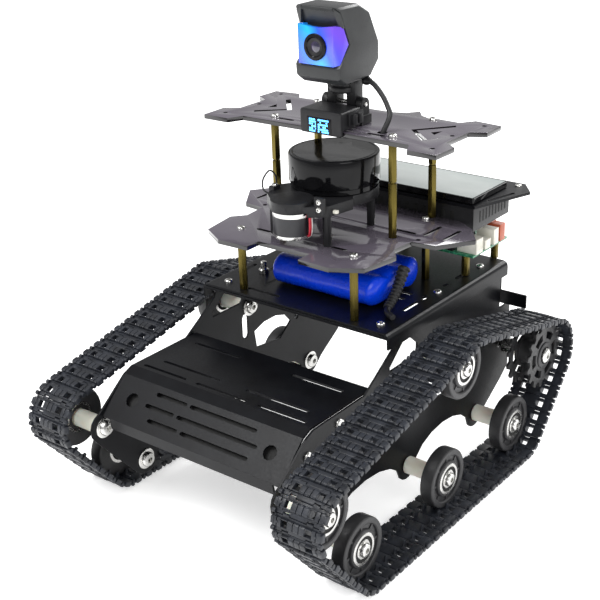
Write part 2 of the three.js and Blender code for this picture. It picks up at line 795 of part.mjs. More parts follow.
// ---------------------------------------------------------------- camera
function addCamera() {
  const floor = UPPER_TOP + GAP;
  const { front, lip, rear, lipBottom, top, halfWidth } = SCREEN_BOX;
  const side = [
    [front, lipBottom],
    [lip, lipBottom],
    [lip, floor],
    [rear, floor],
    [rear, top],
    [front + 2, top],
    [front, top - 2],
  ];
  add("status_screen_box", alongX(side, [], -halfWidth, halfWidth), "black_plastic");

  const bore = circle(0, 0, TILT.bore, 8);
  const earOutline = [[-TILT.knuckle, -8], [TILT.knuckle, -8], ...arc(0, 0, TILT.knuckle, 0, 180, 6)];
  const ear = (x0, x1) => alongX(earOutline, [bore], x0, x1).translate(0, TILT.y, TILT.z);
  const foot = box(-17, 17, 36, 47, floor, 245.5);
  const base = join(foot, ear(TILT.earInner, TILT.earOuter), ear(-TILT.earOuter, -TILT.earInner));
  add("camera_base", base, "black_plastic");
  const pin = turnedAlongX(
    [
      [0, -TILT.pinHalf],
      [TILT.pin, -TILT.pinHalf],
      [TILT.pin, TILT.pinHalf],
      [0, TILT.pinHalf],
    ],
    10,
  );
  add("hinge_pin", pin, "steel").position.set(0, TILT.y, TILT.z);

  const neckOutline = [
    ...arc(0, 0, TILT.knuckle, 180, 360, 6),
    [TILT.knuckle, TILT.neckTop],
    [-TILT.knuckle, TILT.neckTop],
  ];
  const neck = alongX(neckOutline, [bore], -TILT.neckHalf, TILT.neckHalf).translate(0, TILT.y, TILT.z);
  const profile = [
    [19, 268.7],
    [46.7, 269.6],
    [56, 279],
    [56, 291],
    [45.8, 311],
    [34, 317.5],
    [14, 317.5],
    [24, 294],
    [12.5, 280],
    [13, 273],
  ];
  const shell = alongX(profile, [], -CAMERA_HALF, CAMERA_HALF);
  const panel = alongX(
    [
      [11.2, 281],
      [20, 281],
      [20, 306.5],
      [11.2, 306.5],
    ],
    [],
    -14.8,
    14.8,
  );
  add("camera_head", join(shell, panel, neck), "camera_plastic");

  const route = new THREE.CatmullRomCurve3(CABLE_ROUTE.map((p) => new THREE.Vector3(...p)));
  const section = shapeOf(circle(0, 0, CABLE_RADIUS, 8));
  const cable = new THREE.ExtrudeGeometry(section, { steps: 16, bevelEnabled: false, extrudePath: route });
  add("camera_cable", cable, "cable_rubber");
}

// ---------------------------------------------------------------- battery and computer
// Three cells side by side under one shrink wrap, each lying along X.
function addBattery() {
  const cell = 10.4;
  const pitch = 20.4;
  const bottom = DECK.top + GAP;
  const front = 9.7;
  const lobe = (index, from, to, steps) => arc(front + index * pitch, bottom + cell, cell, from, to, steps);
  const outline = [...lobe(2, -90, 115, 8), ...lobe(1, 65, 115, 3), ...lobe(0, 65, 270, 8)];
  add("battery_pack", alongX(outline, [], -37, 49), "battery_wrap");
}

function addComputer() {
  const { boardBottom, boardTop, caseBottom, caseTop, trayTop, panelTop } = COMPUTER;
  const board = box(-14, 74, 84, 131, boardBottom, boardTop);
  const ports = [
    box(60, 75, 87, 96, boardBottom + 1, 156),
    box(62, 74, 99, 107, boardBottom + 1, 152),
    box(60, 75, 110, 126, boardBottom + 1, 158),
    box(0, 40, 96, 122, boardBottom + 1, 157),
  ];
  add("computer_board", join(board, ...ports), "board_green");
  addStandoffs("board_standoff", { x: 38, middle: 28, front: 88, rear: 128 }, DECK.top, boardBottom);
  const legs = [
    [-8, 88.5],
    [56, 85.5],
    [-8, 127],
    [56, 128],
  ].map(([x, y]) => box(x - 2, x + 2, y - 1.5, y + 1.5, boardTop + GAP, caseBottom + 1));
  add("computer_case", join(box(-70, 76, 79.5, 128, caseBottom, caseTop), ...legs), "black_plastic");
  const tray = [
    [-77, 79],
    [77, 79],
    [93, 126],
    [82, 140],
    [-82, 140],
    [-93, 126],
  ];
  const traySlots = [slot(78.6, 95, 84.6, 117, SLOT), slot(-84.6, 117, -78.6, 95, SLOT)];
  add("display_tray", alongZ(tray, traySlots, caseTop + GAP, trayTop), "black_sheet");
  add("display_panel", box(-75, 75, 80.5, 127, trayTop + GAP, panelTop), "glass");
}

addSheetMetal();
SIDES.forEach(addRunningGear);
addStoreys();
addLidar();
addCamera();
addBattery();
addComputer();

export default robot;
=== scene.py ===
"""Looks of the tracked robot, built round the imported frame.

Lengths are millimetres until a mesh is made.
"""

import math
import random

import bmesh
import bpy
from mathutils import Matrix, Vector, noise


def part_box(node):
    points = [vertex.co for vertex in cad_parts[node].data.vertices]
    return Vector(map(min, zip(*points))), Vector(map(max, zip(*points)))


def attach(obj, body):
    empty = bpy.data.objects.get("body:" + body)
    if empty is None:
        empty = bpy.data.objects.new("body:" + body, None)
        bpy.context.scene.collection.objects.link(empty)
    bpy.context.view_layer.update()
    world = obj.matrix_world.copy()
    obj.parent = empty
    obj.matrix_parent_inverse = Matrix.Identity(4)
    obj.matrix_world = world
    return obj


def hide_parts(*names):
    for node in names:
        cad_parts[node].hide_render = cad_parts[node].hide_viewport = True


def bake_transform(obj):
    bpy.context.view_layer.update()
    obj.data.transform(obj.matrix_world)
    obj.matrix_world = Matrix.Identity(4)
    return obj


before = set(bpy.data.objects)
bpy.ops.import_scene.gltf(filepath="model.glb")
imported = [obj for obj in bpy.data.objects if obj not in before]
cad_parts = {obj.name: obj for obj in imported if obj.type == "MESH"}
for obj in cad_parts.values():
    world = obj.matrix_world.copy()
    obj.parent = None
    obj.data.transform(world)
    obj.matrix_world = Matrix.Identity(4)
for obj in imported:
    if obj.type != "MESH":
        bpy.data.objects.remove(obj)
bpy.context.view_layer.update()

MM = 0.001
ROOT = "chassis"
SIDES = (("left", -1), ("right", 1))
WHEELS = ("front_idler", "return_roller", "road_wheel_front", "road_wheel_mid", "road_wheel_rear")


def box_mm(node):
    """Lowest and highest corner of a CAD node in millimetres."""
    low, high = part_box(node)
    return low / MM, high / MM


def centre_mm(node):
    low, high = box_mm(node)
    return (low + high) / 2


# ---------------------------------------------------------------- camera and light
CAMERA_PLACE = (450.0, -571.2, 440.0)
CAMERA_ANGLES = (38.58, 23.16, -1.84)  # round to the right, above the horizon, roll, in degrees
KEY, FILL, BACK = 30, 12, 34  # lamp powers in watts


def make_camera():
    turn, rise, roll = (math.radians(a) for a in CAMERA_ANGLES)
    right = Vector((math.cos(turn), math.sin(turn), 0))
    ahead = Vector((-math.sin(turn) * math.cos(rise), math.cos(turn) * math.cos(rise), -math.sin(rise)))
    up = right.cross(ahead)
    tilted_right = right * math.cos(roll) + up * math.sin(roll)
    tilted_up = up * math.cos(roll) - right * math.sin(roll)
    data = bpy.data.cameras.new("camera")
    data.lens = 71.06
    data.sensor_width = 36
    data.shift_x = -0.0084
    data.shift_y = -0.0064
    camera = bpy.data.objects.new("camera", data)
    rotation = Matrix((tilted_right, tilted_up, -ahead)).transposed().to_4x4()
    camera.matrix_world = Matrix.Translation(Vector(CAMERA_PLACE) * MM) @ rotation
    bpy.context.scene.collection.objects.link(camera)
    bpy.context.scene.camera = camera


def add_light(name, place, target, size, energy):
    data = bpy.data.lights.new(name, "AREA")
    data.shape = "RECTANGLE"
    data.size, data.size_y = size
    data.energy = energy
    light = bpy.data.objects.new(name, data)
    light.location = place
    light.rotation_euler = (Vector(target) - Vector(place)).to_track_quat("-Z", "Y").to_euler()
    bpy.context.scene.collection.objects.link(light)


def make_studio():
    world = bpy.data.worlds.new("studio")
    bpy.context.scene.world = world
    world.use_nodes = True
    background = world.node_tree.nodes["Background"]
    background.inputs["Color"].default_value = (1.0, 1.0, 1.0, 1)
    background.inputs["Strength"].default_value = 0.5
    add_light("key", (-0.5, -1.0, 1.5), (0, 0, 0.1), (1.1, 0.9), KEY)
    add_light("fill", (1.4, -0.6, 0.9), (0, 0, 0.12), (0.9, 0.9), FILL)
    add_light("back", (0.2, 1.5, 1.2), (0, 0, 0.15), (1.6, 0.9), BACK)
    bpy.ops.mesh.primitive_plane_add(size=8, location=(0, 0, -0.0002))
    floor = bpy.context.object
    floor.name = "floor"
    floor.data.materials.append(stage_material())
    bpy.context.scene.view_settings.view_transform = "Standard"


def stage_material():
    material = bpy.data.materials.new("floor_white")
    material.use_nodes = True
    shader = material.node_tree.nodes["Principled BSDF"]
    shader.inputs["Base Color"].default_value = (0.93, 0.93, 0.93, 1)
    shader.inputs["Roughness"].default_value = 0.9
    shader.inputs["Specular IOR Level"].default_value = 0.1
    shader.inputs["Emission Color"].default_value = (1, 1, 1, 1)
    shader.inputs["Emission Strength"].default_value = 0.5
    return material


# ---------------------------------------------------------------- materials
class Paint:
    """A Principled material whose nodes are added one by one."""

    def __init__(self, name, colour, roughness, metallic=0.0, **sockets):
        self.material = bpy.data.materials.new(name)
        self.material.use_nodes = True
        self.tree = self.material.node_tree
        self.shader = self.tree.nodes["Principled BSDF"]
        self.shader.inputs["Base Color"].default_value = (*colour, 1)
        self.shader.inputs["Roughness"].default_value = roughness
        self.shader.inputs["Metallic"].default_value = metallic
        for socket, value in sockets.items():
            self.shader.inputs[socket.replace("_", " ")].default_value = value
        self.coordinates = self.tree.nodes.new("ShaderNodeTexCoord")
        self.normal = None

    def node(self, kind, **settings):
        made = self.tree.nodes.new(kind)
        for key, value in settings.items():
            setattr(made, key, value)
        return made

    def link(self, source, target):
        self.tree.links.new(source, target)

    def noise(self, scale, detail=3.0, stretch=(1, 1, 1)):
        mapping = self.node("ShaderNodeMapping")
        mapping.inputs["Scale"].default_value = stretch
        self.link(self.coordinates.outputs["Object"], mapping.inputs["Vector"])
        texture = self.node("ShaderNodeTexNoise")
        texture.inputs["Scale"].default_value = scale
        texture.inputs["Detail"].default_value = detail
        self.link(mapping.outputs["Vector"], texture.inputs["Vector"])
        return texture.outputs["Fac"]

    def cells(self, scale, feature="F1"):
        texture = self.node("ShaderNodeTexVoronoi", feature=feature)
        texture.inputs["Scale"].default_value = scale
        self.link(self.coordinates.outputs["Object"], texture.inputs["Vector"])
        return texture.outputs["Distance"]

    def ramp(self, source, stops):
        made = self.node("ShaderNodeValToRGB")
        elements = made.color_ramp.elements
        while len(elements) < len(stops):
            elements.new(0.5)
        for element, (position, value) in zip(elements, stops):
            element.position = position
            element.color = (*value, 1) if isinstance(value, tuple) else (value, value, value, 1)
        self.link(source, made.inputs["Fac"])
        return made.outputs["Color"]

    def colour(self, source, *stops):
        self.link(self.ramp(source, stops), self.shader.inputs["Base Color"])
        return self

    def paint_shade_on_sides(self, share):
        """Painted shade: darkens every face that doesn't look up, so the tops look lit from above."""
        split = self.node("ShaderNodeSeparateXYZ")
        self.link(self.coordinates.outputs["Normal"], split.inputs["Vector"])
        mix = self.node("ShaderNodeMix", data_type="RGBA", blend_type="MULTIPLY")
        mix.inputs[0].default_value = 1.0
        base = self.shader.inputs["Base Color"]
        self.link(base.links[0].from_socket, mix.inputs[6])
        self.link(self.ramp(split.outputs["Z"], ((0.5, share), (0.9, 1.0))), mix.inputs[7])
        self.link(mix.outputs[2], base)

    def rough(self, source, low, high):
        self.link(self.ramp(source, ((0.3, low), (0.7, high))), self.shader.inputs["Roughness"])
        return self

    def bump(self, source, height, strength=1.0):
        made = self.node("ShaderNodeBump")
        made.inputs["Distance"].default_value = height * MM
        made.inputs["Strength"].default_value = strength
        self.link(source, made.inputs["Height"])
        if self.normal:
            self.link(self.normal, made.inputs["Normal"])
        self.normal = made.outputs["Normal"]
        self.link(self.normal, self.shader.inputs["Normal"])
        return self


def varied(name, dark, light, rough, scale, bump, metallic=0.0, stretch=(1, 1, 1), **sockets):
    """Colour, roughness and relief that vary slowly over the surface, with a fine grain on top."""
    paint = Paint(name, light, rough[0], metallic, **sockets)
    broad = paint.noise(scale, 4.0, stretch)
    fine = paint.noise(scale * 14, 2.0, stretch)
    paint.colour(broad, (0.3, dark), (0.7, light))
    paint.rough(fine, *rough)
    paint.bump(fine, bump)
    return paint.material


# name, dark and light colour, roughness range, noise scale, grain height in mm, then further settings
FINISHES = {
    "sheet": (
        "black_powder_coat", (0.0025, 0.0025, 0.0035), (0.005, 0.0055, 0.007), (0.28, 0.40), 60, 0.02,
        {"Specular_IOR_Level": 0.17},
    ),
    "track": (
        "track_polymer", (0.006, 0.007, 0.010), (0.020, 0.023, 0.031), (0.34, 0.58), 110, 0.08,
        {"Specular_IOR_Level": 0.42},
    ),
    "wheel": ("wheel_polymer", (0.012, 0.012, 0.013), (0.024, 0.024, 0.026), (0.38, 0.55), 80, 0.04, {}),
    "nylon": (
        "nylon_spacer", (0.72, 0.70, 0.60), (0.86, 0.84, 0.74), (0.32, 0.45), 50, 0.03,
        {"Subsurface_Weight": 0.12},
    ),
    "steel": (
        "zinc_steel", (0.52, 0.52, 0.50), (0.78, 0.77, 0.75), (0.16, 0.30), 70, 0.02, {"metallic": 1.0},
    ),
    "dark_steel": (
        "dark_steel", (0.10, 0.10, 0.10), (0.20, 0.20, 0.20), (0.25, 0.4), 70, 0.02, {"metallic": 1.0},
    ),
    "brass": (
        "turned_brass", (0.08, 0.062, 0.014), (0.17, 0.135, 0.038), (0.24, 0.38), 60, 0.02,
        {"metallic": 1.0, "stretch": (1, 1, 0.12)},
    ),
    "gloss": (
        "lidar_gloss", (0.003, 0.003, 0.0035), (0.005, 0.005, 0.006), (0.07, 0.12), 30, 0.004,
        {"Specular_IOR_Level": 0.15, "Coat_Weight": 0.05, "Coat_Roughness": 0.04},
    ),
    "plastic": (
        "black_moulding", (0.006, 0.006, 0.007), (0.012, 0.012, 0.0135), (0.36, 0.5), 80, 0.03,
        {"Specular_IOR_Level": 0.32},
    ),
    "camera": (
        "camera_moulding", (0.015, 0.016, 0.017), (0.024, 0.026, 0.027), (0.34, 0.46), 80, 0.03,
        {"Specular_IOR_Level": 0.4},
    ),
    "wrap": (
        "battery_shrink_wrap", (0.0005, 0.03, 0.52), (0.001, 0.055, 0.80), (0.22, 0.32), 9, 0.03,
        {"Specular_IOR_Level": 0.32},
    ),
    "rubber": ("cable_rubber", (0.008, 0.008, 0.009), (0.015, 0.015, 0.016), (0.45, 0.6), 120, 0.02, {}),
    "red_wire": ("red_wire", (0.35, 0.005, 0.02), (0.55, 0.012, 0.03), (0.3, 0.4), 200, 0.01, {}),
    "white_wire": ("white_wire", (0.55, 0.55, 0.53), (0.75, 0.75, 0.73), (0.3, 0.4), 200, 0.01, {}),
    "connector": ("white_connector", (0.62, 0.60, 0.52), (0.78, 0.76, 0.68), (0.35, 0.5), 120, 0.02, {}),
    "red_plastic": ("red_terminal", (0.35, 0.07, 0.03), (0.48, 0.11, 0.05), (0.35, 0.5), 120, 0.02, {}),
    # painted shade: a near-black used where only shade is seen, in the gap between bearing rings, behind the
    # front cover's slots and in vent slots
    "painted_shade": ("dark_recess", (0.002, 0.002, 0.002), (0.004, 0.004, 0.004), (0.7, 0.8), 60, 0.01, {}),
    "label": ("dark_foil_band", (0.006, 0.006, 0.008), (0.013, 0.013, 0.017), (0.30, 0.38), 40, 0.01, {}),
    "gold": (
        "plated_pads", (0.45, 0.33, 0.10), (0.62, 0.48, 0.2), (0.25, 0.35), 90, 0.01, {"metallic": 1.0},
    ),
}


def make_materials():
    m = {key: varied(*finish, **extra) for key, (*finish, extra) in FINISHES.items()}
    m["acrylic"] = smoked_acrylic()
    m["board"] = solder_mask()
    m["screen"] = display_screen()
    m["lens"] = lens_glass()
    m["iris"] = iridescent_panel()
    m["glyph"] = glowing("screen_glyph", (0.10, 0.45, 1.0), 3.2)
    return m


def smoked_acrylic():
    paint = Paint("smoked_acrylic", (0.09, 0.08, 0.10), 0.14, Coat_Weight=0.4, Coat_Roughness=0.08, IOR=1.5)
    haze = paint.noise(20, 4.0)
    paint.colour(haze, (0.3, (0.072, 0.062, 0.080)), (0.7, (0.100, 0.088, 0.110)))
    # painted light: faces that don't look up are darkened to 6%, so the tops keep a light purple-grey like
    # the bright ceiling's reflection and the edges look shaded
    paint.paint_shade_on_sides(0.06)
    paint.rough(paint.noise(280), 0.10, 0.18)
    paint.bump(haze, 0.01)
    return paint.material


def solder_mask():
    paint = Paint("solder_mask", (0.02, 0.16, 0.08), 0.35, Coat_Weight=0.3)
    traces = paint.cells(260, "DISTANCE_TO_EDGE")
    paint.colour(traces, (0.02, (0.05, 0.30, 0.15)), (0.08, (0.012, 0.13, 0.065)))
    paint.bump(traces, 0.03)
    paint.rough(paint.noise(300), 0.3, 0.45)
    return paint.material


def display_screen():
    paint = Paint("display_screen", (0.42, 0.46, 0.45), 0.05, Coat_Weight=0.8, Coat_Roughness=0.02)
    haze = paint.noise(9, 5.0, (1, 2.5, 1))
    paint.colour(haze, (0.3, (0.34, 0.39, 0.38)), (0.7, (0.60, 0.64, 0.62)))
    paint.rough(paint.noise(60), 0.04, 0.09)
    return paint.material


def lens_glass():
    paint = Paint("lens_glass", (0.004, 0.004, 0.012), 0.03, Coat_Weight=1.0, Coat_Roughness=0.01, IOR=1.6)
    paint.colour(paint.noise(160), (0.35, (0.002, 0.004, 0.02)), (0.65, (0.02, 0.01, 0.05)))
    return paint.material


def iridescent_panel():
    """Glossy front panel whose colour runs from deep blue through azure to violet, left to right, and which
    also glows faintly in the same colours as painted light.
    """
    paint = Paint("camera_panel", (0.02, 0.2, 0.9), 0.12, Coat_Weight=0.9, Coat_Roughness=0.03)
    split = paint.node("ShaderNodeSeparateXYZ")
    paint.link(paint.coordinates.outputs["Object"], split.inputs["Vector"])
    low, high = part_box("camera_head")
    slant = paint.node("ShaderNodeMath", operation="MULTIPLY_ADD")
    slant.inputs[1].default_value = 0.5
    paint.link(split.outputs["Z"], slant.inputs[0])
    paint.link(split.outputs["X"], slant.inputs[2])
    span = paint.node("ShaderNodeMapRange")
    span.inputs["From Min"].default_value = (high.z - 0.024) * 0.5 - 0.019
    span.inputs["From Max"].default_value = (high.z - 0.024) * 0.5 + 0.019
    paint.link(slant.outputs["Value"], span.inputs["Value"])
    stops = (
        (0.0, (0.004, 0.03, 0.50)),
        (0.28, (0.005, 0.20, 0.90)),
        (0.48, (0.005, 0.36, 0.92)),
        (0.68, (0.01, 0.08, 0.80)),
        (1.0, (0.13, 0.05, 0.60)),
    )
    paint.colour(span.outputs["Result"], *stops)
    # painted light: the panel glows in its own colours though it is no lamp
    painted_glow_colour = paint.ramp(span.outputs["Result"], stops)
    paint.link(painted_glow_colour, paint.shader.inputs["Emission Color"])
    paint.shader.inputs["Emission Strength"].default_value = 0.15
    paint.bump(paint.noise(90), 0.02)
    return paint.material


def glowing(name, colour, strength):
    paint = Paint(name, colour, 0.4, Emission_Strength=strength)
    flicker = paint.noise(500)
    paint.colour(flicker, (0.3, colour), (0.7, tuple(0.7 * c for c in colour)))
    glow = paint.ramp(flicker, ((0.3, colour), (0.7, tuple(0.8 * c for c in colour))))
    paint.link(glow, paint.shader.inputs["Emission Color"])
    return paint.material


# ---------------------------------------------------------------- mesh tools
AXIS_X = Matrix.Rotation(math.pi / 2, 4, "Y")  # local Z becomes +X


def at(x, y, z, turn=Matrix.Identity(4)):
    return Matrix.Translation((x, y, z)) @ turn


def facing(origin, direction, up=(0, 0, 1)):
    """A frame at origin whose local Z looks along direction."""
    w = Vector(direction).normalized()
    u = Vector(up).cross(w)
    u = u.normalized() if u.length > 1e-6 else Vector((1, 0, 0))
    return Matrix.Translation(Vector(origin)) @ Matrix((u, w.cross(u), w)).transposed().to_4x4()


def ring_points(radius, height, count):
    angles = [2 * math.pi * k / count for k in range(count)]
    return [Vector((radius * math.cos(a), radius * math.sin(a), height)) for a in angles]


def sideways(sign):
    """Turns local Z to +X or -X."""
    return Matrix.Rotation(sign * math.pi / 2, 4, "Y")


class Solid:
    """Closed shapes in millimetres, gathered into one mesh."""

    def __init__(self):
        self.bm = bmesh.new()

    def skin(self, rings, slot=0):
        """Joins neighbouring rings of points with faces; a ring of one point is a tip."""
        made = [[self.bm.verts.new(p) for p in ring] for ring in rings]
        for a, b in zip(made, made[1:]):
            count = max(len(a), len(b))
            for k in range(count):
                corners = [a[k % len(a)], a[(k + 1) % len(a)], b[(k + 1) % len(b)], b[k % len(b)]]
                unique = list(dict.fromkeys(corners))
                if len(unique) > 2:
                    self.bm.faces.new(unique).material_index = slot
        for ring in (made[0], made[-1]):
            if len(ring) > 2:
                self.bm.faces.new(ring).material_index = slot
        return self

    def lathe(self, profile, place, segments=40, slot=0):
        rings = []
        for radius, height in profile:
            count = 1 if radius < 1e-6 else segments
            rings.append([place @ p for p in ring_points(radius, height, count)])
        return self.skin(rings, slot=slot)

    def ring(self, profile, place, segments=40, slot=0):
        """A lathe of a closed profile that stays off the axis."""
        columns = []
        for k in range(segments):
            a = 2 * math.pi * k / segments
            columns.append(
                [self.bm.verts.new(place @ Vector((r * math.cos(a), r * math.sin(a), h))) for r, h in profile]
            )
        count = len(profile)
        for k in range(segments):
            a, b = columns[k], columns[(k + 1) % segments]
            for i in range(count):
                j = (i + 1) % count
                self.bm.faces.new((a[i], b[i], b[j], a[j])).material_index = slot
        return self

    def prism(self, outline, low, high, place=Matrix.Identity(4), slot=0):
        """An outline drawn in the local XY plane, from one height to another."""
        bottom = [place @ Vector((x, y, low)) for x, y in outline]
        top = [place @ Vector((x, y, high)) for x, y in outline]
        return self.skin([bottom, top], slot=slot)

    def box(self, low, high, place=Matrix.Identity(4), slot=0):
        (x0, y0, z0), (x1, y1, z1) = low, high
        return self.prism([(x0, y0), (x1, y0), (x1, y1), (x0, y1)], z0, z1, place, slot)

    def tube(self, points, radius, sides=12, slot=0):
        """A round tube of one radius, or one for each point, along a line of points, with flat ends."""
        line = [Vector(p) for p in points]
        normal = Vector((0.31, 0.17, 0.93))
        rings = []
        for i, p in enumerate(line):
            ahead = (line[min(i + 1, len(line) - 1)] - line[max(i - 1, 0)]).normalized()
            normal = (normal - ahead * normal.dot(ahead)).normalized()
            side = ahead.cross(normal)
            r = radius[i] if isinstance(radius, list) else radius
            angles = [2 * math.pi * k / sides for k in range(sides)]
            rings.append([p + (normal * math.cos(a) + side * math.sin(a)) * r for a in angles])
        return self.skin(rings, slot=slot)

    def mesh(self, name, bevel=0.0, sharp=35.0):
        bm = self.bm
        bmesh.ops.recalc_face_normals(bm, faces=bm.faces[:])
        if bevel:
            limit = math.radians(30)
            edges = [e for e in bm.edges if len(e.link_faces) == 2 and e.calc_face_angle(0) > limit]
            bmesh.ops.bevel(bm, geom=edges, offset=bevel, segments=2, profile=0.6, affect="EDGES")
        bmesh.ops.scale(bm, vec=(MM, MM, MM), verts=bm.verts[:])
        data = bpy.data.meshes.new(name)
        bm.to_mesh(data)
        bm.free()
        data.shade_smooth()
        data.set_sharp_from_angle(angle=math.radians(sharp))
        return data


def piece(name, solid, materials, body=ROOT, replaces=(), bevel=0.0, sharp=35.0):
    data = solid.mesh(name, bevel, sharp) if isinstance(solid, Solid) else solid
    if not data.materials:
        for material in materials if isinstance(materials, (list, tuple)) else [materials]:
            data.materials.append(material)
    made = bpy.data.objects.new(name, data)
    bpy.context.scene.collection.objects.link(made)
    if body:
        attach(made, body)
    if replaces:
        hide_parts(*replaces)
    return made


def finish_node(node, material, bevel=0.25, segments=2, limit=32):
    """Gives a CAD node its material and soft edges wherever it turns by more than the limit in degrees."""
    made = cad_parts[node]
    made.data.materials.clear()
    made.data.materials.append(material)
    weld = made.modifiers.new("weld", "WELD")
    weld.merge_threshold = 1e-6
    merge = made.modifiers.new("flat_faces", "DECIMATE")
    merge.decimate_type = "DISSOLVE"
    merge.angle_limit = math.radians(0.5)
    if bevel:
        round_over = made.modifiers.new("edges", "BEVEL")
        round_over.width = bevel * MM
        round_over.segments = segments
        round_over.limit_method = "ANGLE"
        round_over.angle_limit = math.radians(limit)
        round_over.harden_normals = True
        if limit < 32:
            weighted = made.modifiers.new("flat_shading", "WEIGHTED_NORMAL")
            weighted.weight = 100
            weighted.keep_sharp = True
    made.data.shade_smooth()
    made.data.set_sharp_from_angle(angle=math.radians(limit))


def smooth_line(points, steps):
    """Points of a Catmull-Rom curve through the given ones."""
    line = [Vector(p) for p in points]
    padded = [line[0] * 2 - line[1], *line, line[-1] * 2 - line[-2]]
    out = []
    for i in range(1, len(padded) - 2):
        a, b, c, d = padded[i - 1 : i + 3]
        for k in range(steps):
            t = k / steps
            out.append(
                (
                    (2 * b)
                    + (c - a) * t
                    + (2 * a - 5 * b + 4 * c - d) * t**2
                    + (3 * b - a - 3 * c + d) * t**3
                ) / 2
            )
    out.append(line[-1])
    return out


def rounded(x0, y0, x1, y1, radius, steps=5):
    points = []
    for cx, cy, start in (
        (x1 - radius, y0 + radius, -90),
        (x1 - radius, y1 - radius, 0),
        (x0 + radius, y1 - radius, 90),
        (x0 + radius, y0 + radius, 180),
    ):
        for k in range(steps + 1):
            a = math.radians(start + 90 * k / steps)
            points.append((cx + radius * math.cos(a), cy + radius * math.sin(a)))
    return points


# ---------------------------------------------------------------- camera cable
CABLE_ROUTE = (
    (15.6, 44, 267.3),
    (19, 43.2, 267.2),
    (23, 42.4, 265.4),
    (27.5, 41.2, 262.2),
    (31.8, 39.8, 258.6),
    (36, 37.5, 254.6),
    (39.2, 35.4, 251),
    (39.6, 33.6, 247.4),
    (38.6, 32, 243.5),
    (37.2, 30.6, 239.3),
    (36.8, 30.4, 236.3),
)
CABLE_RADIUS = 1.7


def make_camera_cable(m):
    path = smooth_line(CABLE_ROUTE, 5)
    tube = Solid().tube(path, CABLE_RADIUS, 16)
    cable = piece("camera_lead", tube, m["rubber"], body=None)
    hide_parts("camera_cable")
    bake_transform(cable)
    # tapered sleeve where the cable leaves the head
    taper = [3.0, 3.0, 2.9, 2.7, 2.4, 2.2, 1.9]
    root = path[0] - (path[1] - path[0]) * 2.5
    sleeve = Solid().tube([root, *path[:6]], taper, 20)
    piece("camera_lead_sleeve", sleeve, m["plastic"], "camera")


# ---------------------------------------------------------------- tracks
LINKS = 68
WHEEL_RADIUS = 20.2
BELT = 1.9
GROUSER = 1.9
WINDOW = (6.2, 10.4)  # from the middle of the link, across it


def loop_runs():
    """The track's middle line as bends and straights, each a length and a function of distance."""
    rim = WHEEL_RADIUS + 0.3 + BELT / 2
    order = ("front_idler", "road_wheel_front", "road_wheel_rear", "drive_sprocket", "return_roller")
    circles = []
    for name in order:
        c = centre_mm(name + "_right")
        if name == "drive_sprocket":
            c = centre_mm("drive_shaft_right")
        circles.append((c.y, c.z, 24.6 + BELT / 2 if name == "drive_sprocket" else rim))
    normals = []
    for (y, z, r), (y2, z2, r2) in zip(circles, circles[1:] + circles[:1]):
        span = Vector((y2 - y, z2 - z))
        cosine = (r - r2) / span.length
        sine = math.sqrt(1 - cosine * cosine)
        along = span.normalized()
        normals.append(math.atan2(along.y * cosine - along.x * sine, along.x * cosine + along.y * sine))
    runs = []
    for i, (y, z, r) in enumerate(circles):
        start, end = normals[i - 1], normals[i]
        sweep = (end - start) % (2 * math.pi)
        runs.append((r * sweep, lambda s, y=y, z=z, r=r, a=start: (y + r * math.cos(a + s / r),
                                                                  z + r * math.sin(a + s / r), a + s / r)))
        y2, z2, r2 = circles[(i + 1) % len(circles)]
        n = (math.cos(end), math.sin(end))
        p, q = (y + r * n[0], z + r * n[1]), (y2 + r2 * n[0], z2 + r2 * n[1])
        runs.append((math.dist(p, q), lambda s, p=p, n=n, a=end: (p[0] - n[1] * s, p[1] + n[0] * s, a)))
    return runs


def point_on(runs, distance):
    for length, where in runs:
        if distance <= length:
            return where(distance)
        distance -= length
    return runs[0][1](0)


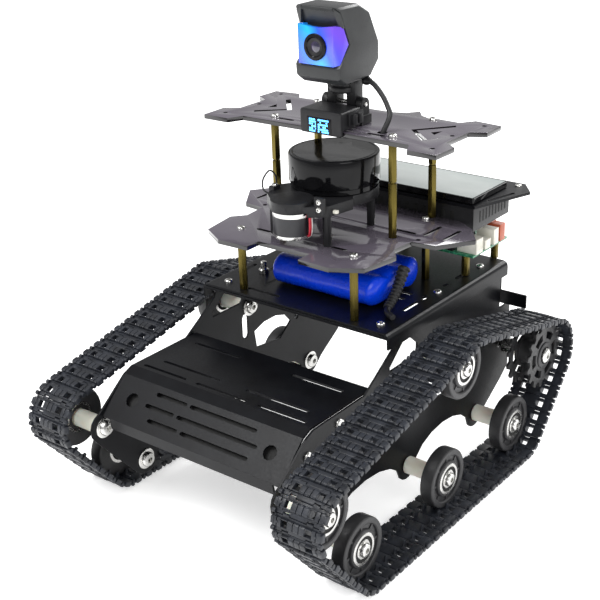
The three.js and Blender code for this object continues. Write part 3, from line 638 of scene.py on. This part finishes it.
def link_solid(pitch):
    """One track link: local X across the track, Y along it, Z away from the wheels."""
    link = Solid()
    half = 16.3
    reach, recess = pitch / 2 + 0.28, pitch / 2 - 0.82
    low, top = -BELT / 2, BELT / 2
    inner, outer = WINDOW
    knots = (-half, -outer, -inner, inner, outer, half)
    fingers = (True, False, True, False, True)
    for (u0, u1), finger in zip(zip(knots, knots[1:]), fingers):
        front = reach if finger else recess
        back = -recess if finger else -reach
        gap = 0.16
        if finger:
            link.box((u0 + gap, back, low), (u1 - gap, front, top))
        else:
            link.box((u0 - gap, 2.1, low), (u1 + gap, front, top))
            link.box((u0 - gap, back, low), (u1 + gap, -2.1, top))
    crest = top + GROUSER
    for sign in (-1, 1):
        # two outer pads, narrow at the crest, with a side lug and a knuckle beside the hinge
        for u0, u1 in ((10.7, 13.3), (13.9, 16.6)):
            link.skin([
                [Vector((sign * u, v, z)) for u, v in ((u0, -w), (u1, -w), (u1, w), (u0, w))]
                for w, z in ((3.1, top - 0.1), (2.8, top + 1.2), (2.0, crest - 0.4))
            ])
        low_end, high_end = sorted((sign * 15.4, sign * 17.7))
        link.lathe([(0, low_end), (1.5, low_end), (1.5, high_end), (0, high_end)],
                   at(0, pitch / 2, 1.0, AXIS_X), 12)
        link.skin([
            [Vector((sign * u, v, z)) for u, v in ((15.6, -w), (out, -w), (out, w), (15.6, w))]
            for w, z, out in ((2.6, low, 17.9), (2.4, top + 0.5, 17.9), (1.8, crest - 0.2, 17.6))
        ])
        # small studs on the pad and a guide horn that runs beside the wheels
        link.lathe([(0, 0), (0.9, 0), (0.75, 0.5), (0, 0.5)], at(sign * 13.4, 0, crest - 0.5), 8)
        link.lathe([(0, 0), (0.7, 0), (0.5, 0.5), (0, 0.5)], at(sign * 12.0, 3.4, top + 0.1), 8)
        link.lathe([(0, 0), (0.7, 0), (0.5, 0.5), (0, 0.5)], at(sign * 15.2, -3.4, top + 0.1), 8)
        link.skin([
            [Vector((sign * u, v, z)) for u, v in ((5.05, -w), (6.1, -w), (6.1, w), (5.05, w))]
            for w, z in ((2.0, low + 0.1), (1.0, low - 3.4))
        ])
        # window rims
        for v in (-2.45, 2.45):
            link.box((sign * 8.3 - 2.2, v - 0.35, top - 0.1), (sign * 8.3 + 2.2, v + 0.35, top + 1.5))
    # three middle pads
    for u0, u1 in ((-5.9, -2.3), (-1.8, 1.8), (2.3, 5.9)):
        link.skin([
            [Vector((u, v, z)) for u, v in ((u0, -w), (u1, -w), (u1, w), (u0, w))]
            for w, z in ((3.1, top - 0.1), (2.8, top + 1.2), (2.0, crest))
        ])
    for u in (-3.4, 0, 3.4):
        link.box((u - 0.5, -2.9, top + 0.9), (u + 0.5, 2.9, top + 1.5))
    for u0, u1 in ((-15.9, -10.9), (-5.5, 5.5), (10.9, 15.9)):
        link.lathe([(0, u0), (0.95, u0), (0.95, u1), (0, u1)], at(0, pitch / 2, 0, AXIS_X), 10)
    return link


def make_tracks(m):
    runs = loop_runs()
    pitch = sum(length for length, _ in runs) / LINKS
    link = link_solid(pitch).mesh("track_link_pattern", bevel=0.16)
    corners = [v.co.copy() for v in link.vertices]
    faces = [tuple(p.vertices) for p in link.polygons]
    for side, sign in SIDES:
        middle = centre_mm(f"track_{side}").x
        points, polygons = [], []
        for i in range(LINKS):
            y, z, angle = point_on(runs, (i + 0.5) * pitch)
            outward = Vector((0, math.cos(angle), math.sin(angle)))
            along = Vector((0, -math.sin(angle), math.cos(angle)))
            across = along.cross(outward)
            place = Matrix((across, along, outward)).transposed().to_4x4()
            place.translation = Vector((middle, y, z)) * MM
            start = len(points)
            points.extend(place @ c for c in corners)
            polygons.extend(tuple(start + k for k in face) for face in faces)
        data = bpy.data.meshes.new(f"track_links_{side}")
        data.from_pydata(points, [], polygons)
        data.shade_smooth()
        data.set_sharp_from_angle(angle=math.radians(32))
        piece(f"track_links_{side}", data, m["track"], ROOT, [f"track_{side}"])
    bpy.data.meshes.remove(link)


# ---------------------------------------------------------------- wheels, axles, sprockets
def wheel_solid():
    """Tyre, dished web with eight ribs and a raised hub; local Z points away from the robot."""
    half = 4.65
    r = WHEEL_RADIUS
    wheel = Solid()
    profile = (
        (10.6, -half), (r - 1.0, -half), (r - 0.3, -half + 0.4), (r, -half + 1.2), (r, half - 1.2),
        (r - 0.3, half - 0.4), (r - 1.0, half), (16.6, half), (15.9, half - 0.5), (15.6, half - 1.8),
        (12.6, half - 1.8), (12.2, half - 0.4), (11.6, half + 0.2), (10.6, half + 0.2),
    )
    wheel.ring(profile, Matrix.Identity(4), 64)
    for k in range(8):
        turn = Matrix.Rotation(2 * math.pi * k / 8, 4, "Z")
        wheel.box((12.1, -0.7, half - 2.0), (16.0, 0.7, half - 1.1), turn)
    return wheel


def bearing_solid():
    """Outer ring, shield with a groove, inner ring."""
    half = 4.65
    bearing = Solid()
    bearing.ring(((8.6, -half), (10.55, -half), (10.55, half + 0.4), (10.2, half + 0.6), (8.6, half + 0.6)),
                 Matrix.Identity(4), 56)
    # slot 1, the shield, takes the painted shade material, dark as the gap between the rings
    bearing.ring(((6.2, -half + 0.5), (8.65, -half + 0.5), (8.65, half + 0.05), (7.4, half - 0.15),
                  (6.2, half + 0.05)), Matrix.Identity(4), 56, slot=1)
    bearing.ring(((3.3, -half), (6.25, -half), (6.25, half + 0.3), (5.9, half + 0.5), (3.3, half + 0.5)),
                 Matrix.Identity(4), 48)
    return bearing


def hexagon(radius):
    return [(p.x, p.y) for p in ring_points(radius, 0, 6)]


def screw_solid(radius, height, socket, drop=0.0):
    """A round-headed screw with a hexagonal socket; local Z is the head's outward direction."""
    corners = hexagon(socket)
    sides = 30
    head = (
        (radius, -drop), (radius, height * 0.45), (radius * 0.86, height * 0.85), (socket * 1.35, height),
    )
    rings = [ring_points(r, h, sides) for r, h in head]
    for h in (height, height * 0.35):
        ring = []
        for k in range(sides):
            corner, share = divmod(k * 6 / sides, 1)
            a, b = corners[int(corner) % 6], corners[(int(corner) + 1) % 6]
            ring.append(Vector((a[0] + (b[0] - a[0]) * share, a[1] + (b[1] - a[1]) * share, h)))
        rings.append(ring)
    return Solid().skin(rings)


def place_copy(name, data, place, material, body, replaces=()):
    """An object of a shared mesh at a frame given in millimetres."""
    made = bpy.data.objects.new(name, data)
    if not data.materials:
        for each in material if isinstance(material, (list, tuple)) else [material]:
            data.materials.append(each)
    matrix = place.copy()
    matrix.translation = place.translation * MM
    made.matrix_world = matrix
    bpy.context.scene.collection.objects.link(made)
    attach(made, body)
    if replaces:
        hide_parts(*replaces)
    return made


def fasten(m, name, pattern, place):
    """A steel screw, bolt or washer on the chassis."""
    return place_copy(name, pattern, place, m["steel"], ROOT)


def spacer_solid(start, end):
    """White spacer with soft ends along local Z."""
    r = 6.0
    return Solid().lathe(
        ((0, start), (r - 0.8, start), (r, start + 0.8), (r, end - 0.8), (r - 0.8, end), (0, end)),
        Matrix.Identity(4), 36,
    )


def make_running_gear(m):
    wheel = wheel_solid().mesh("wheel_pattern", sharp=28)
    bearing = bearing_solid().mesh("bearing_pattern", sharp=28)
    bolt = screw_solid(4.6, 2.5, 1.9, drop=0.5).mesh("axle_bolt_pattern", sharp=40)
    inner_bolt = screw_solid(5.2, 3.4, 2.2).mesh("inner_bolt_pattern", sharp=40)
    washer = Solid().ring(((3.4, 0), (7.2, 0), (7.2, 0.6), (6.9, 0.8), (3.4, 0.8)), Matrix.Identity(4), 40)
    washer = washer.mesh("washer_pattern")
    low, high = box_mm("side_plate_right")
    wheel_low, wheel_high = box_mm("front_idler_right")
    spacer = spacer_solid(high.x + 0.1, wheel_low.x - 0.1).mesh("spacer_pattern")
    for side, sign in SIDES:
        outward = sideways(sign)
        for wheel_name in WHEELS:
            c = centre_mm(f"{wheel_name}_{side}")
            body = f"{wheel_name}_{side}"
            place_copy(f"{wheel_name}_tyre_{side}", wheel, at(c.x, c.y, c.z, outward), m["wheel"], body,
                       [body])
            # the bearing's shield ring gets painted shade, dark as the gap between outer and inner ring
            place_copy(f"{wheel_name}_bearing_{side}", bearing, at(c.x, c.y, c.z, outward),
                       [m["steel"], m["painted_shade"]], body)
            fasten(m, f"{wheel_name}_bolt_{side}", bolt, at(sign * (wheel_high.x + 0.1), c.y, c.z, outward))
            place_copy(f"{wheel_name}_spacer_{side}", spacer, at(0, c.y, c.z, outward), m["nylon"], ROOT,
                       [f"axle_{wheel_name}_{side}"])
            inward = sideways(-sign)
            fasten(m, f"{wheel_name}_washer_{side}", washer, at(sign * (low.x - 0.05), c.y, c.z, inward))
            fasten(m, f"{wheel_name}_inner_bolt_{side}", inner_bolt,
                   at(sign * (low.x - 0.8), c.y, c.z, inward))
        finish_node(f"drive_sprocket_{side}", m["wheel"], 0.3)
        finish_node(f"drive_shaft_{side}", m["steel"], 0.3)
        finish_node(f"gear_motor_{side}", m["dark_steel"], 0.4)
        c = centre_mm(f"drive_shaft_{side}")
        end = box_mm("drive_shaft_right")[1].x
        boss_profile = ((6.4, -1.2), (9.4, -1.2), (9.4, 0.6), (8.8, 1.0), (6.4, 1.0))
        boss = Solid().ring(boss_profile, Matrix.Identity(4), 40)
        hub_face = box_mm("drive_sprocket_right")[1].x
        place_copy(f"sprocket_boss_{side}", boss.mesh(f"sprocket_boss_{side}"),
                   at(sign * hub_face, c.y, c.z, outward), m["wheel"], f"drive_{side}")
        cap = screw_solid(5.4, 1.6, 2.4)
        place_copy(f"sprocket_bolt_{side}", cap.mesh(f"sprocket_bolt_{side}", sharp=40),
                   at(sign * (end - 0.9), c.y, c.z, outward), m["steel"], f"drive_{side}")


# ---------------------------------------------------------------- sheet metal and fasteners
def make_sheet_metal(m):
    for node in ("main_deck", "side_plate_left", "side_plate_right", "front_cover", "rear_plate",
                 "display_tray"):
        finish_node(node, m["sheet"], 0.35, 3, limit=14)
    # painted shade: a dark sheet close behind the front cover's sloping face, so its slots look into shade
    edge, foot = Vector((-105.5, 94.3)), Vector((-128, 72.9))
    down = (foot - edge).normalized()
    inward = Vector((-down.y, down.x))
    shade_sheet = Solid()
    shade_sheet.skin([
        [Vector((x, *(edge + down * s + inward * 4.0))) for x, s in ((-68, 3), (68, 3), (68, 27), (-68, 27))],
        [Vector((x, *(edge + down * s + inward * 4.8))) for x, s in ((-68, 3), (68, 3), (68, 27), (-68, 27))],
    ])
    piece("front_shade_sheet", shade_sheet, m["painted_shade"], ROOT)
    head = screw_solid(2.9, 1.6, 1.3).mesh("screw_pattern", sharp=40)
    deck_top = box_mm("main_deck")[1].z
    low, high = box_mm("side_plate_right")
    count = 0
    for x, y in ((-63.6, -11.4), (63.6, -11.4), (-66, 60), (66, 52), (-66, 110), (66, 108)):
        count += 1
        fasten(m, f"deck_screw_{count}", head, at(x, y, deck_top))
    big = screw_solid(3.6, 2.0, 1.6).mesh("plate_screw_pattern", sharp=40)
    for side, sign in SIDES:
        outward = sideways(sign)
        inward = sideways(-sign)
        for k, (y, z) in enumerate(((-73, 89.5), (-104, 81.5))):
            fasten(m, f"plate_screw_{side}_{k}", big, at(sign * high.x, y, z, outward))
        for k, (y, z) in enumerate(((-73, 89.5), (-104, 81.5))):
            fasten(m, f"plate_nut_{side}_{k}", head, at(sign * low.x, y, z, inward))


def make_storeys(m):
    for node in ("lower_plate", "upper_plate"):
        finish_node(node, m["acrylic"], 0.22, 2)
    head = screw_solid(2.7, 1.7, 1.25).mesh("storey_screw_pattern", sharp=40)
    corners = hexagon(3.05)
    plates = {"lower": box_mm("lower_plate")[1].z, "upper": box_mm("upper_plate")[1].z}
    for storey, joint_share in (("lower", None), ("upper", 0.42)):
        for row in ("front", "rear"):
            for side, _ in SIDES:
                node = f"{storey}_standoff_{row}_{side}"
                low, high = box_mm(node)
                c = (low + high) / 2
                post = Solid()
                ends = [(low.z - 0.2, high.z + 0.2)]
                if joint_share:
                    joint = high.z - (high.z - low.z) * joint_share
                    ends = [(low.z - 0.2, joint - 0.5), (joint + 0.5, high.z + 0.2)]
                    post.lathe(((0, joint - 0.6), (1.9, joint - 0.6), (1.9, joint + 0.6), (0, joint + 0.6)),
                               at(c.x, c.y, 0), 20)
                for bottom, top in ends:
                    post.prism(corners, bottom, top, at(c.x, c.y, 0))
                piece(f"{node}_post", post, m["brass"], ROOT, [node], bevel=0.28)
                fasten(m, f"{node}_screw", head, at(c.x, c.y, plates[storey]))


# ---------------------------------------------------------------- lidar
def make_lidar(m):
    low, high = box_mm("lidar_head")
    c = (low + high) / 2
    radius = (high.x - low.x) / 2
    head = Solid()
    head.lathe(
        (
            (0, low.z), (radius - 1.4, low.z), (radius - 0.9, low.z + 0.4), (radius - 0.9, low.z + 3.4),
            (radius - 0.2, low.z + 3.7), (radius, low.z + 4.2), (radius, high.z - 1.3),
            (radius - 0.25, high.z - 0.5),
            (radius - 0.9, high.z - 0.05), (radius - 2.2, high.z), (radius - 2.6, high.z - 0.35),
            (radius - 3.0, high.z), (0, high.z),
        ),
        at(c.x, c.y, 0), 96,
    )
    piece("lidar_shell", head, m["gloss"], "lidar_rotor", ["lidar_head"], sharp=25)
    finish_node("lidar_base", m["plastic"], 0.5, 3)

    low, high = box_mm("lidar_motor")
    c = (low + high) / 2
    r = (high.x - low.x) / 2 - 0.05
    can = Solid()
    can.lathe(
        ((0, low.z), (3.2, low.z), (3.4, low.z + 0.6), (r - 1.2, low.z + 0.7), (r - 0.3, low.z + 1.1),
         (r, low.z + 2.0), (r, low.z + 3.4), (r - 0.25, low.z + 3.5), (r - 0.25, high.z - 3.0),
         (r, high.z - 2.9), (r, high.z - 0.1),
         (0, high.z - 0.1)),
        at(c.x, c.y, 0), 64,
    )
    piece("lidar_motor_can", can, m["steel"], ROOT, ["lidar_motor"], sharp=25)
    band = Solid().ring(((r - 0.4, low.z + 3.55), (r - 0.08, low.z + 3.55), (r - 0.08, high.z - 3.05),
                         (r - 0.4, high.z - 3.05)), at(c.x, c.y, 0), 64)
    piece("lidar_motor_band", band, m["label"], ROOT)

    head_screw = screw_solid(2.0, 1.3, 0.9).mesh("lidar_screw_pattern", sharp=40)
    ear = Solid().box((17.5, -17.5, 195), (25.0, -14.6, 206.3))
    ear.box((-28.5, -6.0, 195), (-24.0, 1.0, 202.5))
    piece("lidar_ears", ear, m["plastic"], ROOT, bevel=0.6)
    toward = Matrix.Rotation(math.pi / 2, 4, "X")
    for k, place in enumerate((
        at(21.6, -17.5, 203.6, toward), at(21.6, -17.5, 198.6, toward), at(-26.2, -2.5, 202.5),
        at(27.0, 30.0, 200.0, AXIS_X),
    )):
        fasten(m, f"lidar_screw_{k}", head_screw, place)
    strands = (("red", "red_wire", 0.0), ("white", "white_wire", 1.2), ("red_2", "red_wire", -1.2))
    for name, colour, shift in strands:
        route = [(12.6, -15 + shift, 196), (14.4, -17 + shift, 192), (15.2, -18 + shift, 186.5),
                 (14.2, -17.5 + shift, 181), (11.6, -15.5 + shift, 178.4)]
        wire = Solid().tube(smooth_line(route, 6), 0.55, 10)
        piece(f"lidar_wire_{name}", wire, m[colour])
    loop = [(-29.5, -4, 196), (-33, -6, 199.5), (-35.5, -3, 205),
            (-33, 1, 210.5), (-30.8, 4, 207), (-31.5, 6, 201)]
    piece("lidar_wire_left", Solid().tube(smooth_line(loop, 6), 0.6, 10), m["rubber"])
    plug = Solid().box((26.0, -9.2, 194.8), (29.2, -6.9, 196.8))
    piece("lidar_plug", plug, m["connector"], bevel=0.3)


# ---------------------------------------------------------------- screen box and camera
def make_screen_box(m):
    low, high = box_mm("status_screen_box")
    floor = box_mm("upper_plate")[1].z + 0.3
    lip = 1.9
    rings = []
    for inset, depth, bottom in (
        (1.0, 0.0, low.z), (0.25, 0.3, low.z), (0.0, 1.0, low.z), (0.0, lip, low.z), (0.0, lip + 0.05, floor),
        (0.0, high.y - low.y, floor),
    ):
        outline = rounded(low.x, bottom, high.x, high.z, 1.6)
        cx, cz = (low.x + high.x) / 2, (bottom + high.z) / 2
        sx = 1 - inset / (high.x - cx)
        sz = 1 - inset / (high.z - cz)
        rings.append([Vector((cx + (x - cx) * sx, low.y + depth, cz + (z - cz) * sz)) for x, z in outline])
    piece("screen_housing", Solid().skin(rings), m["plastic"], ROOT, ["status_screen_box"])
    window = Solid().box((-10.6, low.y - 0.12, low.z + 0.9), (8.8, low.y + 0.4, low.z + 11.2))
    piece("screen_window", window, m["gloss"], ROOT, bevel=0.1)
    glyph = Solid()
    rng = random.Random(7)
    for left, right, rows in ((-8.9, -3.6, 6), (-1.9, 6.6, 6)):
        for row in range(rows):
            x = left
            z = low.z + 1.5 + row * 1.5
            while x < right - 0.5:
                width = rng.uniform(0.7, 2.0)
                if rng.random() < 0.78:
                    glyph.box((x, low.y - 0.2, z), (min(x + width, right), low.y - 0.1, z + 1.1))
                x += width + 0.3
    piece("screen_pixels", glyph, m["glyph"], ROOT)
    # side socket with a ribbed plug
    side = Solid()
    side.box((high.x - 0.4, low.y + 7.5, floor + 2.4), (high.x + 1.4, high.y + 1.5, high.z - 1.2))
    side.box((high.x + 1.0, low.y + 10, floor + 3.4), (high.x + 3.4, low.y + 13.5, high.z - 2.6))
    side.box((high.x + 1.0, low.y + 15.5, floor + 3.4), (high.x + 3.4, low.y + 19, high.z - 2.6))
    piece("screen_box_bracket", side, m["plastic"], ROOT, bevel=0.4)


def make_camera_head(m):
    finish_node("camera_base", m["plastic"], 0.4, 3)
    finish_node("hinge_pin", m["steel"], 0.25)
    low, high = box_mm("camera_head")
    top = high.z
    # side outline with a notch in front for the panel's wings
    outline = (
        (19, 268.7), (46.7, 269.6), (56, 279), (56, 291), (45.8, 311), (34, top), (14, top), (24, 294),
        (12.5, 280), (13, 273),
    )
    shell = Solid()
    middle_y, middle_z = 34.0, 292.0
    rings = []
    for x, inset in ((-17.3, 0.055), (-15.6, 0.0), (15.6, 0.0), (17.3, 0.055)):
        rings.append([
            Vector((x, y + (middle_y - y) * (inset if y > 25 else inset * 0.25), z + (middle_z - z) * inset))
            for y, z in outline
        ])
    shell.skin(rings)
    piece("camera_shell", shell, m["camera"], "camera", ["camera_head"], bevel=0.5)

    # hood over the panel: roof, two cheeks, and the dark recess between them; chin below
    hood = Solid()
    hood.skin([
        [Vector((x, y, z)) for x, y, z in ((-12.6, 13.0, top - 2.4), (12.6, 13.0, top - 2.4),
                                           (11.6, 13.4, top - 0.2),
                                           (-11.6, 13.4, top - 0.2))],
        [Vector((x, y, z)) for x, y, z in ((-13.6, 24, top - 2.6), (13.6, 24, top - 2.6), (13.2, 24, top),
                                           (-13.2, 24, top))],
    ])
    for sign in (-1, 1):
        hood.skin([
            [Vector((sign * x, y, z)) for x, y, z in ((16.9, 14.4, top - 3.2), (12.2, 13.2, top - 0.4),
                                                      (12.2, 22, top - 0.2), (16.9, 22, top - 3.2))],
            [Vector((sign * x, y, z)) for x, y, z in ((16.9, 17.6, top - 13.0), (14.4, 15.6, top - 11.4),
                                                      (14.4, 22, top - 12), (16.9, 22, top - 13.0))],
        ])
    hood.skin([
        [Vector((x, 13.4, z)) for x, z in ((-12.5, 272.5), (12.5, 272.5), (15.2, 281.0), (-15.2, 281.0))],
        [Vector((x, 20.0, z)) for x, z in ((-12.8, 268.9), (12.8, 268.9), (16.4, 280), (-16.4, 280))],
    ])
    piece("camera_hood", hood, m["camera"], "camera", bevel=0.35)
    recess = Solid().box((-14.0, 18.6, top - 13.5), (14.0, 26, top - 1.5))
    piece("camera_recess", recess, m["plastic"], "camera")

    neck = Solid()
    axis_y, axis_z = 41.5, 252.3
    turns = [math.radians(180 + 15 * k) for k in range(13)]
    arc = [(4.5 * math.cos(turn), 4.5 * math.sin(turn)) for turn in turns]
    outline = arc + [(4.5, 10), (6.2, 18), (-6.2, 18), (-4.5, 10)]
    for x0, x1 in ((-11, -4.2), (4.2, 11)):
        neck.skin([[Vector((x, axis_y + a, axis_z + b)) for a, b in outline] for x in (x0, x1)])
    neck.box((-8, axis_y - 4, axis_z + 6), (8, axis_y + 5, 269.6))
    neck.lathe(((0, 259.5), (8.6, 259.5), (9.2, 260.2), (9.2, 263.0), (8.0, 264.0), (8.0, 269.4), (0, 269.4)),
               at(0, axis_y - 1.5, 0), 40)
    piece("camera_neck", neck, m["plastic"], "camera", bevel=0.5)

    # front panel: a flat middle with two wings that fold back to a point in the shell's notches
    panel = Solid()
    y = 11.25
    front = [(-13.6, 281.6), (13.6, 281.6), (13.8, top - 11.0), (3.5, top - 12.4), (-3.5, top - 12.4),
             (-13.8, top - 11.0)]
    panel.skin([
        [Vector((x, y, z)) for x, z in front],
        [Vector((x, y + 3.5, z)) for x, z in front],
    ])
    for sign in (-1, 1):
        edge = [Vector((sign * 13.5, y, 281.6)), Vector((sign * 13.5, y, top - 11.0))]
        fold = [Vector((sign * 16.6, 14.3, 282.6)), Vector((sign * 17.0, 22.9, 294.0)),
                Vector((sign * 16.6, 18.2, top - 12.0))]
        wing = [edge[0], fold[0], fold[1], fold[2], edge[1]]
        back = [Vector((sign * 11.5, p.y + 3.0, p.z)) for p in wing]
        panel.skin([wing, back])
    piece("camera_panel", panel, m["iris"], "camera", bevel=0.25)

    lens_z = 293.0
    lens = Solid()
    place = facing((0, y - 0.7, lens_z), (0, -1, 0))
    rim_profile = ((5.6, -1.5), (8.4, -1.5), (8.4, 0.4), (7.9, 0.9), (6.4, 1.0), (5.9, 0.5), (5.6, 0.2))
    lens.ring(rim_profile, place, 56)
    seat_profile = ((3.4, -1.5), (5.7, -1.5), (5.7, 0.25), (4.9, 0.1), (3.8, -0.5), (3.4, -0.6))
    lens.ring(seat_profile, place, 48, slot=1)
    lens.lathe(((0, -1.4), (3.5, -1.4), (3.5, -0.6), (2.6, -0.2), (1.4, 0.05), (0, 0.15)), place, 40, slot=2)
    piece("camera_lens", lens, [m["gloss"], m["plastic"], m["lens"]], "camera", sharp=30)


# ---------------------------------------------------------------- battery
def make_battery(m):
    low, high = box_mm("battery_pack")
    cell = 10.4
    centres = [low.y + cell - 0.2 + 20.4 * i for i in range(3)]
    length = high.x - low.x
    stations = 56
    rings = []
    for s in range(stations + 1):
        t = s / stations
        x = low.x + 0.3 + (length - 0.6) * t
        edge = min(t, 1 - t) * length
        shrink = 1.0 - 0.28 * max(0.0, 1 - edge / 5.0) ** 2
        ring = []
        for k in range(96):
            a = 2 * math.pi * k / 96
            direction = Vector((math.cos(a), math.sin(a)))
            y, z = wrap_point(direction, centres, low.z + cell, cell, shrink)
            wrinkle = noise.fractal(Vector((x * 0.05, y * 0.10, z * 0.10 + 7)), 1.0, 2.0, 3) * 0.5
            near_end = max(0.0, 1 - (1 - t) * length / 26.0)
            wrinkle += near_end * noise.noise(Vector((x * 0.07, y * 0.55, z * 0.55))) * 1.3
            centre_y = centres[1]
            pull = 1 - (abs(wrinkle) * 0.9 + 0.2) / 30
            pulled_y = centre_y + (y - centre_y) * pull
            pulled_z = low.z + cell + (z - low.z - cell) * (pull - 0.02)
            ring.append(Vector((x, pulled_y, pulled_z)))
        rings.append(ring)
    pack = Solid().skin(rings)
    piece("battery_wrap", pack, m["wrap"], ROOT, ["battery_pack"], sharp=60)

    # ribbed boot of the battery lead, leaning from the pack down to the deck
    start, end = Vector((54, 30, 151.5)), Vector((58.0, 4.0, 132.6))
    boot = Solid()
    ribs = 11
    points, radii = [], []
    for k in range(ribs * 4 + 1):
        t = k / (ribs * 4)
        p = start.lerp(end, t) + Vector((0, 0, -3.0 * math.sin(math.pi * t)))
        points.append(p)
        radii.append(3.9 - 1.3 * t + (0.45 if k % 4 in (1, 2) else -0.25))
    boot.tube(points, radii, 24)
    piece("battery_lead_boot", boot, m["rubber"], ROOT, sharp=30)
    lead_steps = ((0, 1, 0.5), (3, -4, -0.6), (9.5, -7.5, -1.2))
    lead = smooth_line([end + Vector(step) for step in lead_steps], 8)
    piece("battery_lead", Solid().tube(lead, 2.0, 14), m["rubber"], ROOT)
    clip = Solid()
    c = (-53, 14, 129.2)
    clip.lathe(((0, 0), (3.6, 0), (3.6, 2.6), (3.0, 3.2), (0, 3.2)), at(*c), 30)
    clip.lathe(((0, 3.0), (2.2, 3.0), (2.2, 8.0), (1.6, 8.6), (0, 8.6)), at(*c), 30)
    piece("charge_socket", clip, m["steel"], ROOT, bevel=0.0)


def wrap_point(direction, centres, z, cell, shrink):
    """Where a ray from the pack's middle leaves the hull of its cells, softened between them."""
    reach = centres[-1] - centres[1]
    best = 0.0
    for cy in (-reach, 0.0, reach):
        along = direction.x * cy
        root = along * along - cy * cy + cell * cell
        if root > 0:
            best = max(best, along + math.sqrt(root))
    flat = cell / max(1e-6, abs(direction.y)) if abs(direction.y) > 1e-6 else 1e6
    hull = max(best, min(flat * 0.96, reach / max(1e-6, abs(direction.x))))
    r = (0.38 * best + 0.62 * hull) * shrink
    return centres[1] + direction.x * r, z + direction.y * r


# ---------------------------------------------------------------- computer and display
def make_computer(m):
    low, high = box_mm("computer_board")
    board = Solid().box((low.x, low.y, low.z), (74, high.y, low.z + 1.6))
    piece("board", board, m["board"], ROOT, ["computer_board"], bevel=0.15)
    top = low.z + 1.6
    white = Solid()
    white.box((59.5, 87, top - 0.1), (74.8, 95.6, 156.5))
    white.box((62, 99, top - 0.1), (74.6, 106.4, 152.5))
    white.box((61, 110.5, top - 0.1), (74.8, 117, 157))
    for k in range(6):
        white.box((74.4, 88 + k * 1.3, 148.5), (74.95, 88.7 + k * 1.3, 154))
    piece("board_connectors", white, m["connector"], bevel=0.25)
    red = Solid().box((60, 119, top - 0.1), (74.8, 126, 158))
    for k in range(3):
        red.lathe(((0, 0), (1.3, 0), (1.3, 0.5), (0, 0.5)), at(67, 120.4 + k * 2.2, 158), 16)
    piece("board_terminal", red, m["red_plastic"], bevel=0.25)
    chips = Solid()
    for x, y, w, d, h in ((8, 98, 26, 22, 9.5), (-9, 92, 7, 9, 1.6), (45, 90, 9, 9, 1.5),
                          (46, 112, 7, 11, 3.0),
                          (-8, 116, 9, 9, 1.4), (30, 86.5, 12, 5, 1.2)):
        chips.box((x, y, top - 0.05), (x + w, y + d, top + h))
    piece("board_chips", chips, m["plastic"], bevel=0.2)
    pins = Solid()
    for k in range(20):
        for row in (0, 1):
            x, y = -6 + k * 2.54, 127.2 + row * 2.2
            pins.box((x - 0.32, y - 0.32, top), (x + 0.32, y + 0.32, top + 6))
    piece("board_pins", pins, m["gold"])
    for row in ("front", "rear"):
        for side, _ in SIDES:
            finish_node(f"board_standoff_{row}_{side}", m["brass"], 0.25)
    finish_node("computer_case", m["plastic"], 0.8, 3)
    low, high = box_mm("computer_case")
    # painted shade: dark strips on the case's side and front stand in for the shade inside its vent slots
    vent_shade = Solid()
    for k in range(9):
        y = low.y + 8 + k * 4.2
        vent_shade.box((high.x - 0.6, y, high.z - 11.5), (high.x + 0.12, y + 1.8, high.z - 3.5))
    for k in range(16):
        x = low.x + 20 + k * 7.2
        vent_shade.box((x, low.y - 0.12, high.z - 11.5), (x + 3.0, low.y + 0.6, high.z - 4.0))
    piece("case_vent_shade", vent_shade, m["painted_shade"], bevel=0.1)

    low, high = box_mm("display_panel")
    frame_solid = Solid()
    outer = rounded(low.x, low.y, high.x, high.y, 1.6)
    c = Vector(((low.x + high.x) / 2, (low.y + high.y) / 2))
    rings = []
    for inset, z in ((0.3, low.z), (0.0, low.z + 0.4), (0.0, high.z - 0.5), (0.35, high.z - 0.15)):
        rings.append([Vector((c.x + (x - c.x) * (1 - inset / 75), c.y + (y - c.y) * (1 - inset / 23), z))
                      for x, y in outer])
    frame_solid.skin(rings)
    piece("display_body", frame_solid, m["gloss"], ROOT, ["display_panel"])
    glass_outline = rounded(low.x + 1.3, low.y + 1.2, high.x - 1.3, high.y - 1.2, 1.0)
    glass = Solid().prism(glass_outline, high.z - 0.3, high.z)
    piece("display_glass", glass, m["screen"], ROOT)
    head = screw_solid(2.4, 1.5, 1.1).mesh("tray_screw_pattern", sharp=40)
    tray_top = box_mm("display_tray")[1].z
    for k, (x, y) in enumerate(((-80, 133), (80, 133), (-30, 134.5), (30, 134.5))):
        fasten(m, f"tray_screw_{k}", head, at(x, y, tray_top))


make_camera()
materials = make_materials()
make_camera_cable(materials)
make_studio()
make_tracks(materials)
make_running_gear(materials)
make_sheet_metal(materials)
make_storeys(materials)
make_lidar(materials)
make_screen_box(materials)
make_camera_head(materials)
make_battery(materials)
make_computer(materials)
